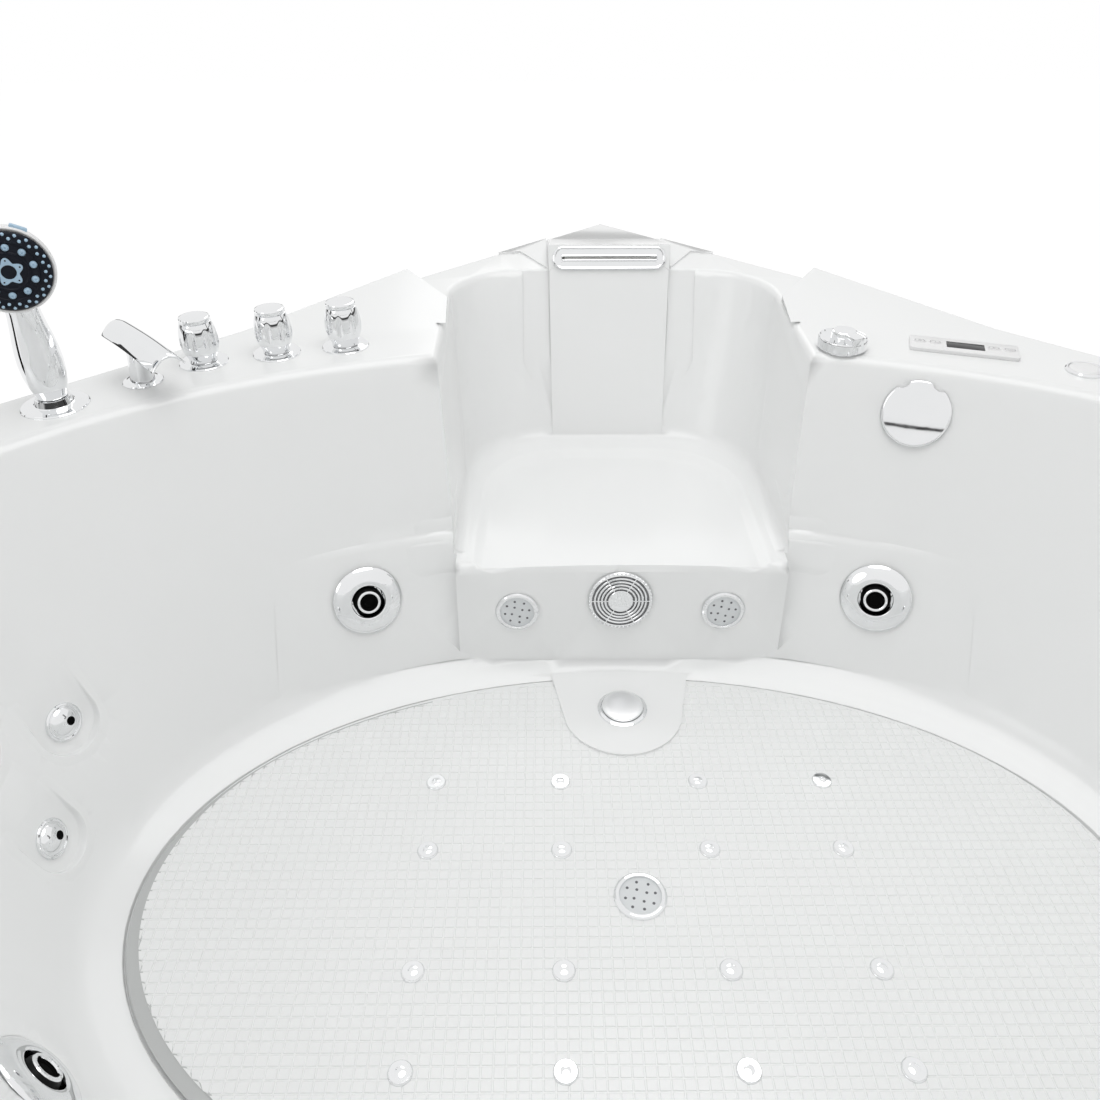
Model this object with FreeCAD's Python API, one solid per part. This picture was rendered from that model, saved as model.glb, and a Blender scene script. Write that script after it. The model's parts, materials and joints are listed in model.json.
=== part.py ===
import FreeCAD, Part
import math
import os

# Corner bath with water jets. Millimetres, +Z up, +Y towards the room corner, X = 0 on the symmetry line.
# The origin is on the ground, under the middle of the outline.

V = FreeCAD.Vector
UP = V(0, 0, 1)
DOWN = V(0, 0, -1)
ROOT_HALF = math.sqrt(0.5)

# --- outline and shell ---
side_length = 1550.0          # each straight side that stands against a wall
end_length = 550.0            # straight end face, square to its wall
diagonal_depth = 1749.0       # room corner to the middle of the curved front
deck_height = 600.0
basin_depth = 422.0           # deck down to the floor
shell_wall = 6.0
floor_thickness = 12.0
lip_height = 42.0             # down-turned edge all round the deck
outer_corner_radius = 34.0
deck_edge_radius = 6.0

# --- oval basin ---
basin_centre_y = -262.0
floor_half_length = 566.0
floor_half_width = 349.0
foot_half_length = 617.0      # where the wall starts, above the soft band round the floor
foot_half_width = 411.0
foot_rise = 36.0
rim_half_length = 808.0
rim_half_width = 540.0
rim_roll = 10.0
floor_groove_depth = 6.0
floor_groove_width = 7.0
floor_groove_shift = -5.0     # the groove is wider at the front than by the drain

# --- seat niche ---
seat_height = 349.0
niche_front_half = 233.0      # half widths at seat level
niche_back_half = 229.0
niche_back_y = 500.0
niche_corner_radius = 140.0
niche_top_front_half = 245.0  # half widths at deck level
niche_top_back_half = 251.0
niche_top_back_y = 601.0
niche_top_corner_radius = 104.0
riser_half = 228.0
riser_foot_y = 119.0
riser_top_y = 133.0
riser_sag = 11.0              # how much the riser follows the oval at its ends
pan_depth = 6.0
panel_half_foot = 94.0        # waterfall panel in the middle of the niche's back
panel_half_top = 99.0
panel_proud_foot = 3.0
panel_proud_top = 9.0
strip_half = 141.0
strip_depth = 3.5

# --- ledge panels beside the seat ---
ledge_height = 376.0
ledge_proud = 12.0
ledge_outer_x = 463.0

# --- raised facets of the deck ---
facet_rise = 19.0
facet_crease_y = 343.0
facet_peak_x = 321.0
nose_half = 99.0              # block over the waterfall
nose_rise = 39.0
nose_run = 17.0
nose_back_y = 775.0
corner_step = 3.0

# --- fits ---
seat_gap = 0.3                # two pieces that rest or fasten on each other
running_gap = 0.4             # beside a piece that turns or slides
hole_gap = 0.6                # round a tube in its hole

# --- jets, lights, suction ---
big_jet_radius = 47.0
big_jet_hole = 27.5
big_jet_barrel = 26.5
big_jet_length = 55.0
nozzle_radius = 20.0
small_jet_radius = 22.0
small_jet_barrel = 18.0
small_jet_length = 42.0
pocket_radius = 38.0
pocket_length = 66.0
pocket_tilt = 9.0
pocket_depth = 7.0
light_radius = 30.0
light_barrel = 19.0
light_length = 27.0
suction_radius = 45.0
suction_barrel = 30.0
suction_length = 45.0
air_jet_radius = 12.5
air_jet_tail = 7.0
air_jet_height = 3.0
air_jet_columns = (87.0, 244.0)
air_jet_rows = (-104.5, -206.0, -354.5, -455.0)

# --- drain and overflow ---
drain_y = 20.4
drain_pad_rise = 4.0
drain_pad_back_half = 99.0
drain_pad_front_half = 77.0
drain_flange_radius = 34.0
drain_tube_radius = 24.0
plug_radius = 28.0
plug_lift = 8.0
overflow_x = 379.0
overflow_height = 543.0
overflow_radius = 43.0
overflow_barrel = 24.0
waste_pipe_radius = 20.0
trap_low_z = 52.0
trap_high_z = 102.0
trap_leg_y = 120.0
outlet_y = 400.0
outlet_low_z = 22.0
outlet_length = 40.0

# --- deck fittings: places of their middles ---
knob_places = {"hot": (-548.0, 235.0), "diverter": (-460.0, 264.0), "cold": (-373.0, 287.0)}
shower_place = (-686.0, 110.0)
spout_place = (-606.0, 177.0)
air_knob_place = (292.5, 274.0)
panel_place = (454.0, 268.0)
button_place = (583.0, 197.5)
knob_flange_radius = 31.0
knob_flange_height = 3.0
knob_height = 59.0
knob_waist = 17.5
knob_belly = 24.0
knob_cap_radius = 18.5
spindle_radius = 7.0
shower_flange_radius = 38.5
panel_length = 137.0
panel_width = 44.0
panel_proud = 5.0
panel_turn = -17.5
key_length = 16.0
key_width = 9.0
key_travel = 0.8
button_radius = 20.0
button_travel = 4.0

# --- frame and feet ---
tube = 30.0
post_foot_z = 45.0
board_thickness = 15.0
board_margin = 6.0
rail_columns = (165.0, 400.0)
foot_pad_radius = 22.0
foot_stud_radius = 6.0

# --- derived heights ---
floor_z = deck_height - basin_depth
shell_bottom_z = floor_z - floor_thickness
board_bottom_z = shell_bottom_z - board_thickness
rail_bottom_z = board_bottom_z - tube
bearer_bottom_z = rail_bottom_z - tube
bearer_z = bearer_bottom_z + tube / 2
deck_under_z = deck_height - shell_wall
drain_pad_z = floor_z + drain_pad_rise
apex_y = diagonal_depth / 2
front_y = -diagonal_depth / 2
side_x = side_length * ROOT_HALF
side_y = apex_y - side_length * ROOT_HALF
end_x = side_x - end_length * ROOT_HALF
end_y = side_y - end_length * ROOT_HALF


# ---------------------------------------------------------------- helpers

def write(name, shape):
    shape.exportStep("parts/" + name + ".step")
    print(name, len(shape.Solids), "solids", round(shape.Volume / 1000.0, 1), "cm3")


def polygon_face(points):
    return Part.Face(Part.makePolygon(points + [points[0]]))


def prism(points, low, high):
    """Upright prism on a plan outline given as (x, y) pairs."""
    return polygon_face([V(x, y, low) for x, y in points]).extrude(V(0, 0, high - low))


def box(x0, x1, y0, y1, z0, z1):
    return Part.makeBox(x1 - x0, y1 - y0, z1 - z0, V(x0, y0, z0))


def lathe(profile):
    """Solid of revolution about Z from (radius, height) points."""
    points = [V(r, 0, z) for r, z in profile]
    return polygon_face(points).revolve(V(0, 0, 0), UP, 360)


def polygon_shell(loops):
    """Flat-faced solid through matching loops of points; the first and last loops are its ends."""
    faces = [polygon_face(loops[0]), polygon_face(loops[-1])]
    count = len(loops[0])
    for lower, upper in zip(loops, loops[1:]):
        for k in range(count):
            nxt = (k + 1) % count
            faces.append(polygon_face([lower[k], lower[nxt], upper[nxt], upper[k]]))
    solid = Part.Solid(Part.Shell(faces))
    if solid.Volume < 0:
        solid.reverse()
    return solid


def stack(rings, sides):
    """Flat-sided turned solid: rings are (radius, height) or (radius, height, x, y)."""
    loops = []
    for radius, z, *centre in rings:
        x, y = centre or (0.0, 0.0)
        loops.append([V(x + radius * math.cos(2 * math.pi * k / sides),
                        y + radius * math.sin(2 * math.pi * k / sides), z) for k in range(sides)])
    return polygon_shell(loops)


def frame_at(point, normal, spin=0.0):
    """Placement that carries +Z onto the normal, with local +Y as nearly upwards as it can be."""
    n = V(normal).normalize()
    side = UP.cross(n)
    if side.Length < 1e-6:
        side = V(1, 0, 0)
    side.normalize()
    rise = n.cross(side)
    turn = FreeCAD.Rotation(side, rise, n, "ZXY")
    return FreeCAD.Placement(point, turn.multiply(FreeCAD.Rotation(UP, spin)))


def at(shape, point, normal=UP, spin=0.0):
    copy = shape.copy()
    copy.Placement = frame_at(point, normal, spin).multiply(copy.Placement)
    return copy


def rod(start, end, radius):
    run = end - start
    return Part.makeCylinder(radius, run.Length, start, run)


def pipe_run(points, radius, sides=12):
    """Flat-sided pipe along straight runs, mitred at each bend."""
    steps = [(b - a).normalize() for a, b in zip(points, points[1:])]
    across = steps[0].cross(UP if abs(steps[0].z) < 0.9 else V(1, 0, 0)).normalize()
    loop = []
    for k in range(sides):
        turn = FreeCAD.Rotation(steps[0], 360.0 * k / sides)
        loop.append(points[0] + turn.multVec(across) * radius)
    loops = [loop]
    for k in range(1, len(points)):
        along = steps[k - 1]
        cut = along if k == len(points) - 1 else (along + steps[k]).normalize()
        loop = [p + along * ((points[k] - p).dot(cut) / along.dot(cut)) for p in loop]
        loops.append(loop)
    return polygon_shell(loops)


def mirrored(shape):
    return shape.mirror(V(0, 0, 0), V(1, 0, 0))


def both(shape):
    return [shape, mirrored(shape)]


def both_sides(points):
    return points + [V(-p.x, p.y, p.z) for p in points]


# ---------------------------------------------------------------- outline

def outline_wire():
    corner_r = V(side_x, side_y, 0)
    end_r = V(end_x, end_y, 0)
    corner_l = V(-side_x, side_y, 0)
    end_l = V(-end_x, end_y, 0)
    apex = V(0, apex_y, 0)
    front = Part.Arc(end_l, V(0, front_y, 0), end_r).toShape()
    lines = [Part.makeLine(end_r, corner_r), Part.makeLine(corner_r, apex),
             Part.makeLine(apex, corner_l), Part.makeLine(corner_l, end_l)]
    block = Part.Face(Part.Wire([front] + lines)).extrude(V(0, 0, 10))

    def uprights(x_limit):
        return [e for e in block.Edges
                if abs(e.Vertexes[0].X - e.Vertexes[-1].X) < 0.01
                and abs(e.Vertexes[0].Y - e.Vertexes[-1].Y) < 0.01
                and abs(abs(e.Vertexes[0].X) - x_limit) < 1.0]

    block = block.makeFillet(outer_corner_radius, uprights(side_x))
    bottom = min(block.Faces, key=lambda f: f.CenterOfMass.z)
    return bottom.OuterWire


outline = outline_wire()


def outline_prism(inset, low, high):
    wire = outline.copy()
    if inset:
        wire = wire.makeOffset2D(-inset)
    wire.translate(V(0, 0, low))
    return Part.Face(wire).extrude(V(0, 0, high - low))


# ---------------------------------------------------------------- basin

def oval(half_length, half_width, z, shift=0.0):
    centre = V(0, basin_centre_y + shift, z)
    return Part.Wire([Part.Ellipse(centre, half_length, half_width).toShape()])


def wall_axes(z):
    """Half length and half width of the basin wall at height z."""
    share = (z - floor_z - foot_rise) / (deck_height - floor_z - foot_rise)
    return (foot_half_length + share * (rim_half_length - foot_half_length),
            foot_half_width + share * (rim_half_width - foot_half_width))


# share of the band's width and of its rise, from the floor border to the foot of the wall
band_shape = ((0.0, 0.0), (0.16, 0.14), (0.5, 0.28), (0.8, 0.55), (1.0, 1.0))


def basin_solid(grow, drop):
    """The basin's hollow, or with grow and drop its outer skin."""
    rings = []
    for across, rise in band_shape:
        a = floor_half_length + across * (foot_half_length - floor_half_length)
        b = floor_half_width + across * (foot_half_width - floor_half_width)
        rings.append(oval(a + grow, b + grow, floor_z + rise * foot_rise - drop * (1 - rise)))
    a, b = wall_axes(deck_height - rim_roll)
    rings.append(oval(a + grow, b + grow, deck_height - rim_roll))
    a, b = wall_axes(deck_height - 0.35 * rim_roll)
    rings.append(oval(a + grow + 0.2 * rim_roll, b + grow + 0.2 * rim_roll, deck_height - 0.35 * rim_roll))
    a, b = wall_axes(deck_height)
    rings.append(oval(a + grow + 0.8 * rim_roll, b + grow + 0.8 * rim_roll, deck_height))
    if not grow:
        rings.append(oval(a + rim_roll, b + rim_roll, deck_height + 2))
    return Part.makeLoft(rings, True, True)


def wall_point(angle_deg, z):
    """Point on the basin wall and the unit normal that points into the basin."""
    a, b = wall_axes(z)
    turn = math.radians(angle_deg)
    point = V(a * math.cos(turn), basin_centre_y + b * math.sin(turn), z)
    up_a, up_b = wall_axes(z + 10)
    higher = V(up_a * math.cos(turn), basin_centre_y + up_b * math.sin(turn), z + 10)
    along = V(-a * math.sin(turn), b * math.cos(turn), 0)
    normal = (higher - point).cross(along)
    normal.normalize()
    if normal.z < 0:
        normal = normal * -1
    return point, normal


def riser_y(x, z):
    share = (z - floor_z - foot_rise) / (seat_height - floor_z - foot_rise)
    return riser_foot_y + share * (riser_top_y - riser_foot_y) - riser_sag * (x / riser_half) ** 2


def riser_block(back, low, high, inset):
    """The seat's front wall, as the solid under the seat; inset moves it back and in from its faces."""
    nose = 5.0

    def section(z, pull):
        half = riser_half - inset
        mid = V(0, riser_y(0, z) + inset + pull, z)
        left = V(-half, riser_y(half, z) + inset + pull, z)
        right = V(half, riser_y(half, z) + inset + pull, z)
        arc = Part.Arc(left, mid, right).toShape()
        lines = [Part.makeLine(right, V(half, back, z)), Part.makeLine(V(half, back, z), V(-half, back, z)),
                 Part.makeLine(V(-half, back, z), left)]
        return Part.Wire([arc] + lines)

    heights = [(low, 0.0), (high - 3 * nose, 0.0)]
    if not inset:
        heights += [(high - 1.2 * nose, 0.6 * nose), (high - 0.3 * nose, 1.6 * nose), (high, 3 * nose)]
    else:
        heights += [(high, 0.0)]
    return Part.makeLoft([section(z, pull) for z, pull in heights], True, True)


def niche_section(z, front_half, back_half, back_y, corner, front):
    """Plan of the niche at one height: open straight front, rounded back corners."""
    k = corner * (1 - ROOT_HALF)
    left = [V(-front_half, front, z), V(-back_half, back_y - corner, z)]
    right = [V(back_half, back_y - corner, z), V(front_half, front, z)]
    arc_l = Part.Arc(left[1], V(-back_half + k, back_y - k, z), V(-back_half + corner, back_y, z)).toShape()
    arc_r = Part.Arc(V(back_half - corner, back_y, z), V(back_half - k, back_y - k, z), right[0]).toShape()
    back = Part.makeLine(V(-back_half + corner, back_y, z), V(back_half - corner, back_y, z))
    return Part.Wire([Part.makeLine(left[0], left[1]), arc_l, back, arc_r,
                      Part.makeLine(right[0], right[1]), Part.makeLine(right[1], left[0])])


def niche_at(z, grow, front):
    """Niche outline at height z, or its skin with grow."""
    share = (z - seat_height) / (deck_height - seat_height)

    def mix(low, high):
        return low + share * (high - low)

    return niche_section(z, mix(niche_front_half, niche_top_front_half) + grow,
                         mix(niche_back_half, niche_top_back_half) + grow,
                         mix(niche_back_y, niche_top_back_y) + grow,
                         mix(niche_corner_radius, niche_top_corner_radius) + grow, front)


def niche_solid(grow, drop, front):
    foot = 16.0
    rings = []
    if grow:
        low = niche_at(seat_height, grow, front)
        low.translate(V(0, 0, -drop))
        return Part.makeLoft([low, niche_at(seat_height + foot, grow, front),
                              niche_at(deck_height, grow, front)], True, True)
    for lift, pull in ((0.0, 1.0), (0.12, 0.5), (0.45, 0.14), (1.0, 0.0)):
        rings.append(niche_at(seat_height + lift * foot, -pull * foot, front))
        rings[-1].translate(V(0, 0, 0))
    rings.append(niche_at(deck_height - rim_roll, 0.0, front))
    rings.append(niche_at(deck_height - 0.35 * rim_roll, 0.25 * rim_roll, front))
    rings.append(niche_at(deck_height, 0.8 * rim_roll, front))
    rings.append(niche_at(deck_height + 2, rim_roll, front))
    return Part.makeLoft(rings, True, True)


def back_y_at(z):
    share = (z - seat_height) / (deck_height - seat_height)
    return niche_back_y + share * (niche_top_back_y - niche_back_y)


def waterfall_panel():
    """Block that stands proud of the niche's back, between two fine steps."""
    def section(z, half, proud):
        y = back_y_at(z)
        return Part.makePolygon([V(-half + 2, y - proud, z), V(half - 2, y - proud, z), V(half, y + 20, z),
                                 V(-half, y + 20, z), V(-half + 2, y - proud, z)])
    return Part.makeLoft([section(seat_height - 10, panel_half_foot, panel_proud_foot),
                          section(deck_height + 3, panel_half_top, panel_proud_top)], True, True)


def strip_cut(side):
    """Shallow fading recess beside the waterfall panel."""
    low_z = deck_height - 165.0
    low_y = back_y_at(low_z)
    top_y = back_y_at(deck_height + 3)
    inner = side * (panel_half_top - 1)
    outer = side * strip_half
    face = polygon_face([V(inner, low_y - 1, low_z), V(inner, top_y + strip_depth, deck_height + 3),
                         V(inner, top_y - 10, deck_height + 3)])
    return face.extrude(V(outer - inner, 0, 0))


def ledge_pad(side):
    """Lower wall panel beside the seat: proud at the niche, fading out along the wall."""
    def wall_y(x, z):
        a, b = wall_axes(z)
        return basin_centre_y + b * math.sqrt(max(0.0, 1 - (x / a) ** 2))

    def section(z, proud):
        x0 = riser_half - 14
        x1 = ledge_outer_x
        xm = 0.5 * (x0 + x1)
        near = V(side * x0, wall_y(x0, z) - proud, z)
        far = V(side * x1, wall_y(x1, z) + 0.5, z)
        mid = V(side * xm, wall_y(xm, z) - 0.42 * proud, z)
        arc = Part.Arc(near, mid, far).toShape()
        back_far = V(side * x1, wall_y(x1, z) + 60, z)
        back_near = V(side * x0, wall_y(x0, z) + 60, z)
        return Part.Wire([arc, Part.makeLine(far, back_far), Part.makeLine(back_far, back_near),
                          Part.makeLine(back_near, near)])

    low = floor_z + foot_rise - 14
    return Part.makeLoft([section(low, ledge_proud), section(ledge_height - 8, ledge_proud),
                          section(ledge_height - 1.5, 0.6 * ledge_proud),
                          section(ledge_height + 1, 0.0)], True, True)


def seat_pan():
    """Shallow dish of the seat, open to the front."""
    margin = 24.0
    slope = 20.0

    def section(z, inset):
        return niche_section(z, niche_front_half - inset, niche_back_half - inset, niche_back_y - 1.6 * inset,
                             niche_corner_radius - 0.4 * inset, 60.0)
    return Part.makeLoft([section(seat_height - pan_depth, margin + slope),
                          section(seat_height - 0.75 * pan_depth, margin + 0.7 * slope),
                          section(seat_height - 0.2 * pan_depth, margin + 0.25 * slope),
                          section(seat_height + 0.5, margin)], True, True)


def drain_pad():
    back = V(-drain_pad_back_half, 96, floor_z - 1)
    left = V(-drain_pad_front_half, -8, floor_z - 1)
    tip = V(0, -62, floor_z - 1)
    arc = Part.Arc(left, tip, V(-left.x, left.y, left.z)).toShape()
    wire = Part.Wire([Part.makeLine(back, left), arc, Part.makeLine(V(-left.x, left.y, left.z),
                                                                  V(-back.x, back.y, back.z)),
                      Part.makeLine(V(-back.x, back.y, back.z), back)])
    return Part.Face(wire).extrude(V(0, 0, drain_pad_rise + 1))


def floor_groove():
    low = floor_z - floor_groove_depth
    ring = Part.Face(oval(floor_half_length - 1, floor_half_width - 1, low)).extrude(V(0, 0, floor_groove_depth))
    island = Part.Face(oval(floor_half_length - floor_groove_width, floor_half_width - floor_groove_width,
                            low - 1, -floor_groove_shift * 0.9)).extrude(V(0, 0, floor_groove_depth + 2))
    return ring.cut(island).cut(drain_pad())


# ---------------------------------------------------------------- deck

def deck_facet(side):
    """Raised sloping facet between the niche and the wall."""
    run = 260.0
    wedge = polygon_face([V(200, facet_crease_y, deck_height - 2), V(200, facet_crease_y, deck_height),
                          V(200, facet_crease_y + run, deck_height + facet_rise * run / 210.0),
                          V(200, facet_crease_y + run, deck_height - 2)]).extrude(V(360, 0, 0))
    on_wall_x = apex_y - facet_crease_y - 6
    plan = [(on_wall_x, facet_crease_y), (244, facet_crease_y), (250, 450),
            (facet_peak_x, apex_y - facet_peak_x - 1.0)]
    solid = wedge.common(prism(plan, deck_height - 3, deck_height + 60))
    return solid if side > 0 else mirrored(solid)


def nose_profile(drop, inset):
    """Side view of the block over the waterfall."""
    y0 = back_y_at(deck_height) - panel_proud_top
    return [V(0, y0 + inset, deck_height - 8 - drop), V(0, y0 + inset, deck_height - drop),
            V(0, y0 + nose_run + inset, deck_height + nose_rise - drop - 0.3 * drop),
            V(0, nose_back_y - inset, deck_height - drop), V(0, nose_back_y - inset, deck_height - 8 - drop)]


def nose_block(half, drop, inset):
    points = [V(-half, p.y, p.z) for p in nose_profile(drop, inset)]
    return polygon_face(points).extrude(V(2 * half, 0, 0))


def corner_plate(side):
    """Thin step on the deck behind the niche."""
    plan = [(102, 609), (146, 694), (179, 686), (183, 687), (102, 768)]
    return prism([(side * x, y) for x, y in plan], deck_height - 2, deck_height + corner_step)


# ---------------------------------------------------------------- places of the wall fittings

ledge_jet_angle = 57.9
front_jet_angle = -33.5
front_seat_depth = 1.4        # the front jets' flat seats are sunk this far into the curved wall
big_jet_heights = {"back": 304.0, "front": 269.0}
small_jet_spots = {"upper": (15.6, 327.0), "lower": (2.4, 256.0), "top": (3.4, 376.0)}
shell_behind_ledge = 14.0


def big_jet_places():
    places = {}
    for row, angle in (("back", ledge_jet_angle), ("front", front_jet_angle)):
        point, normal = wall_point(angle, big_jet_heights[row])
        if row == "back":
            point = point + normal * (0.45 * ledge_proud)
        else:
            point = point - normal * front_seat_depth
        places["right_" + row] = (point, normal)
        places["left_" + row] = (V(-point.x, point.y, point.z), V(-normal.x, normal.y, normal.z))
    return places


def small_jet_places():
    places = {}
    for name, (angle, z) in small_jet_spots.items():
        point, normal = wall_point(angle, z)
        places["right_" + name] = (point, normal)
        places["left_" + name] = (V(-point.x, point.y, point.z), V(-normal.x, normal.y, normal.z))
    return places


def pocket_axis(normal):
    """Normal of the small jets' pocket floor: turned down from the wall's, so the pocket fades upwards."""
    side = UP.cross(normal)
    side.normalize()
    return FreeCAD.Rotation(side, pocket_tilt).multVec(normal)


big_jets = big_jet_places()
small_jets = {}
for jet_name, (jet_point, jet_normal) in small_jet_places().items():
    axis = pocket_axis(jet_normal)
    small_jets[jet_name] = (jet_point - axis * pocket_depth, axis)

riser_lean = math.atan2(riser_top_y - riser_foot_y, seat_height - floor_z - foot_rise)
riser_normal = V(0, -math.cos(riser_lean), math.sin(riser_lean))
suction_z = 290.0
suction_point = V(0, riser_y(0, suction_z), suction_z)
light_x = 145.0
light_z = 274.0
seat_light = V(light_x, riser_y(light_x, light_z), light_z)
light_places = [(seat_light, riser_normal), (V(-seat_light.x, seat_light.y, seat_light.z), riser_normal),
                (V(0, -268.0, floor_z), UP)]
overflow_point, overflow_normal = wall_point(
    math.degrees(math.acos(overflow_x / wall_axes(overflow_height)[0])), overflow_height)
nose_face_normal = V(0, -nose_rise, nose_run).normalize()
nose_face_point = V(0, back_y_at(deck_height) - panel_proud_top + nose_run / 2, deck_height + nose_rise / 2)
air_jet_points = [V(x, y, floor_z) for x in air_jet_columns for y in air_jet_rows]
air_jet_points = both_sides(air_jet_points)


def slot_prism(radius, length, low, high):
    """Round-ended bar: local Y is its length, local Z its axis."""
    arc_low = Part.Arc(V(-radius, 0, low), V(0, -radius, low), V(radius, 0, low)).toShape()
    arc_top = Part.Arc(V(radius, length, low), V(0, length + radius, low), V(-radius, length, low)).toShape()
    wire = Part.Wire([arc_low, Part.makeLine(V(radius, 0, low), V(radius, length, low)), arc_top,
                      Part.makeLine(V(-radius, length, low), V(-radius, 0, low))])
    return Part.Face(wire).extrude(V(0, 0, high - low))


def jet_pocket(place, grow, top):
    return at(slot_prism(pocket_radius + grow, pocket_length, -grow, top), place[0], place[1])


# ---------------------------------------------------------------- tub shell

def tub_shell():
    rim = outline_prism(0, deck_height - lip_height, deck_height)
    top_edges = [e for e in rim.Edges if min(v.Z for v in e.Vertexes) > deck_height - 0.1]
    rim = rim.makeFillet(deck_edge_radius, top_edges)
    rim = rim.cut(outline_prism(shell_wall, deck_height - lip_height - 1, deck_under_z))
    basin_outer = basin_solid(shell_wall, floor_thickness)
    niche_outer = niche_solid(shell_wall, pan_depth + shell_wall, 100.0)
    bosses = [jet_pocket(place, shell_wall, 22) for place in small_jets.values()]
    body = rim.multiFuse([basin_outer, niche_outer] + bosses)
    body = body.multiFuse([deck_facet(1), deck_facet(-1), nose_block(nose_half, 0, 0),
                           corner_plate(1), corner_plate(-1)])

    hollow = basin_solid(0.0, 0.0)
    hollow = hollow.cut(riser_block(300.0, floor_z - 5, seat_height, 0.0))
    hollow = hollow.cut(ledge_pad(1)).cut(ledge_pad(-1)).cut(drain_pad())
    niche = niche_solid(0.0, 0.0, 60.0).cut(waterfall_panel())
    niche = niche.fuse(strip_cut(1)).fuse(strip_cut(-1))
    body = body.cut(hollow).cut(niche)
    body = body.cut(seat_pan())
    under = riser_block(niche_back_y + 150, shell_bottom_z - 5, seat_height - pan_depth - shell_wall, shell_wall)
    body = body.cut(under)
    body = body.cut(floor_groove())
    body = body.cut(nose_block(nose_half - shell_wall, shell_wall, shell_wall))

    cuts = [jet_pocket(place, 0.0, 40) for place in small_jets.values()]
    for point, normal in big_jets.values():
        cuts.append(seat_tool(point, normal, big_jet_radius, big_jet_hole - hole_gap))
    for point, axis in small_jets.values():
        cuts.append(seat_tool(point, axis, small_jet_barrel, small_jet_barrel))
    for point, normal in light_places:
        cuts.append(seat_tool(point, normal, light_radius, light_barrel))
    cuts.append(seat_tool(suction_point, riser_normal, suction_radius, suction_barrel))
    cuts.append(seat_tool(overflow_point, overflow_normal, overflow_radius, overflow_barrel))
    cuts += [rod(p - UP * 20, p + UP * 20, air_jet_tail + hole_gap) for p in air_jet_points]
    cuts.append(rod(V(0, drain_y, 100), V(0, drain_y, 220), drain_tube_radius + hole_gap))
    for x, y in knob_places.values():
        cuts.append(rod(V(x, y, deck_height - 20), V(x, y, deck_height + 5), spindle_radius + 4 + hole_gap))
    cuts.append(deck_hole(shower_place, 15.0 + hole_gap))
    cuts.append(deck_hole(spout_place, 10.0 + hole_gap))
    cuts.append(deck_hole(air_knob_place, 11.0 + hole_gap))
    cuts.append(deck_hole(button_place, button_radius + 1.6 + hole_gap))
    cuts.append(at(box(-55.6, 55.6, -15.6, 15.6, -20, 20), V(panel_place[0], panel_place[1], deck_height),
                   UP, panel_turn))
    cuts.append(at(box(-78, 78, -4, 4, -40, 20), nose_face_point, nose_face_normal))
    for tool in cuts:
        body = body.cut(tool)
    return body


def seat_tool(point, normal, face_radius, hole_radius):
    """Flat spot face in the wall with the hole for a barrel through its middle."""
    hole = hole_radius + hole_gap
    face = face_radius + hole_gap
    if face_radius == hole_radius:
        return rod(point - normal * 50, point + normal * 30, hole)
    return at(lathe([(0, -50), (hole, -50), (hole, 0), (face, 0), (face, 30), (0, 30)]), point, normal)


def deck_hole(place, radius):
    return rod(V(place[0], place[1], deck_height - 20), V(place[0], place[1], deck_height + 20), radius)


# ---------------------------------------------------------------- casing, board, frame, feet

def front_apron():
    """One skirt round both end faces and the curved front, hung inside the deck's lip."""
    inset = shell_wall + seat_gap
    thickness = 4.0
    toe = 14.0
    band = outline_prism(inset, toe, deck_under_z - seat_gap)
    band = band.cut(outline_prism(inset + thickness, toe - 1, deck_height))
    flange = outline_prism(inset + 0.5, toe, toe + thickness)
    flange = flange.cut(outline_prism(inset + 26, toe - 1, toe + thickness + 1))
    band = band.fuse(flange)
    back = side_y - 26.0
    keep = box(-side_x - 20, side_x + 20, front_y - 20, back, 0, deck_height)
    return band.common(keep)


def base_board():
    board = Part.Face(oval(floor_half_length - board_margin, floor_half_width - board_margin,
                           board_bottom_z)).extrude(V(0, 0, board_thickness))
    holes = [rod(p - UP * 60, p + UP, air_jet_tail + 2.5) for p in air_jet_points]
    holes.append(rod(V(0, drain_y, 100), V(0, drain_y, 200), drain_tube_radius + 8))
    holes.append(rod(V(0, -268, 100), V(0, -268, 200), light_barrel + 5))
    for tool in holes:
        board = board.cut(tool)
    return board


post_places = [(870.0, -50.0), (-870.0, -50.0), (925.0, -330.0), (-925.0, -330.0), (330.0, 490.0),
               (-330.0, 490.0), (0.0, 790.0), (0.0, -822.0)]
foot_rows = (-50.0, -330.0, -560.0)


def support_frame():
    """Welded square tubes: rails under the board, bearers across them, posts up to the deck."""
    half = tube / 2
    top = rail_bottom_z
    tubes = []
    for x in rail_columns:
        for sign in (1, -1):
            tubes.append(box(sign * x - half, sign * x + half, -575, -35, rail_bottom_z, board_bottom_z))
    reach = {-50.0: 870.0 - half, -330.0: 925.0 - half, -560.0: 640.0}
    for y, x in reach.items():
        tubes.append(box(-x, x, y - half, y + half, bearer_bottom_z, top))
    for sign in (1, -1):
        tubes.append(box(sign * 300 - half, sign * 300 + half, -50 + half, 490 - half, bearer_bottom_z, top))
    tubes.append(box(-330 + half, 330 - half, 490 - half, 490 + half, bearer_bottom_z, top))
    tubes.append(box(-half, half, 490 + half, 790 - half, bearer_bottom_z, top))
    tubes.append(box(-half, half, -822 + half, -560 - half, bearer_bottom_z, top))
    for x, y in post_places:
        tubes.append(box(x - half, x + half, y - half, y + half, post_foot_z, deck_under_z - seat_gap))
    return Part.makeCompound(tubes)


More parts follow.
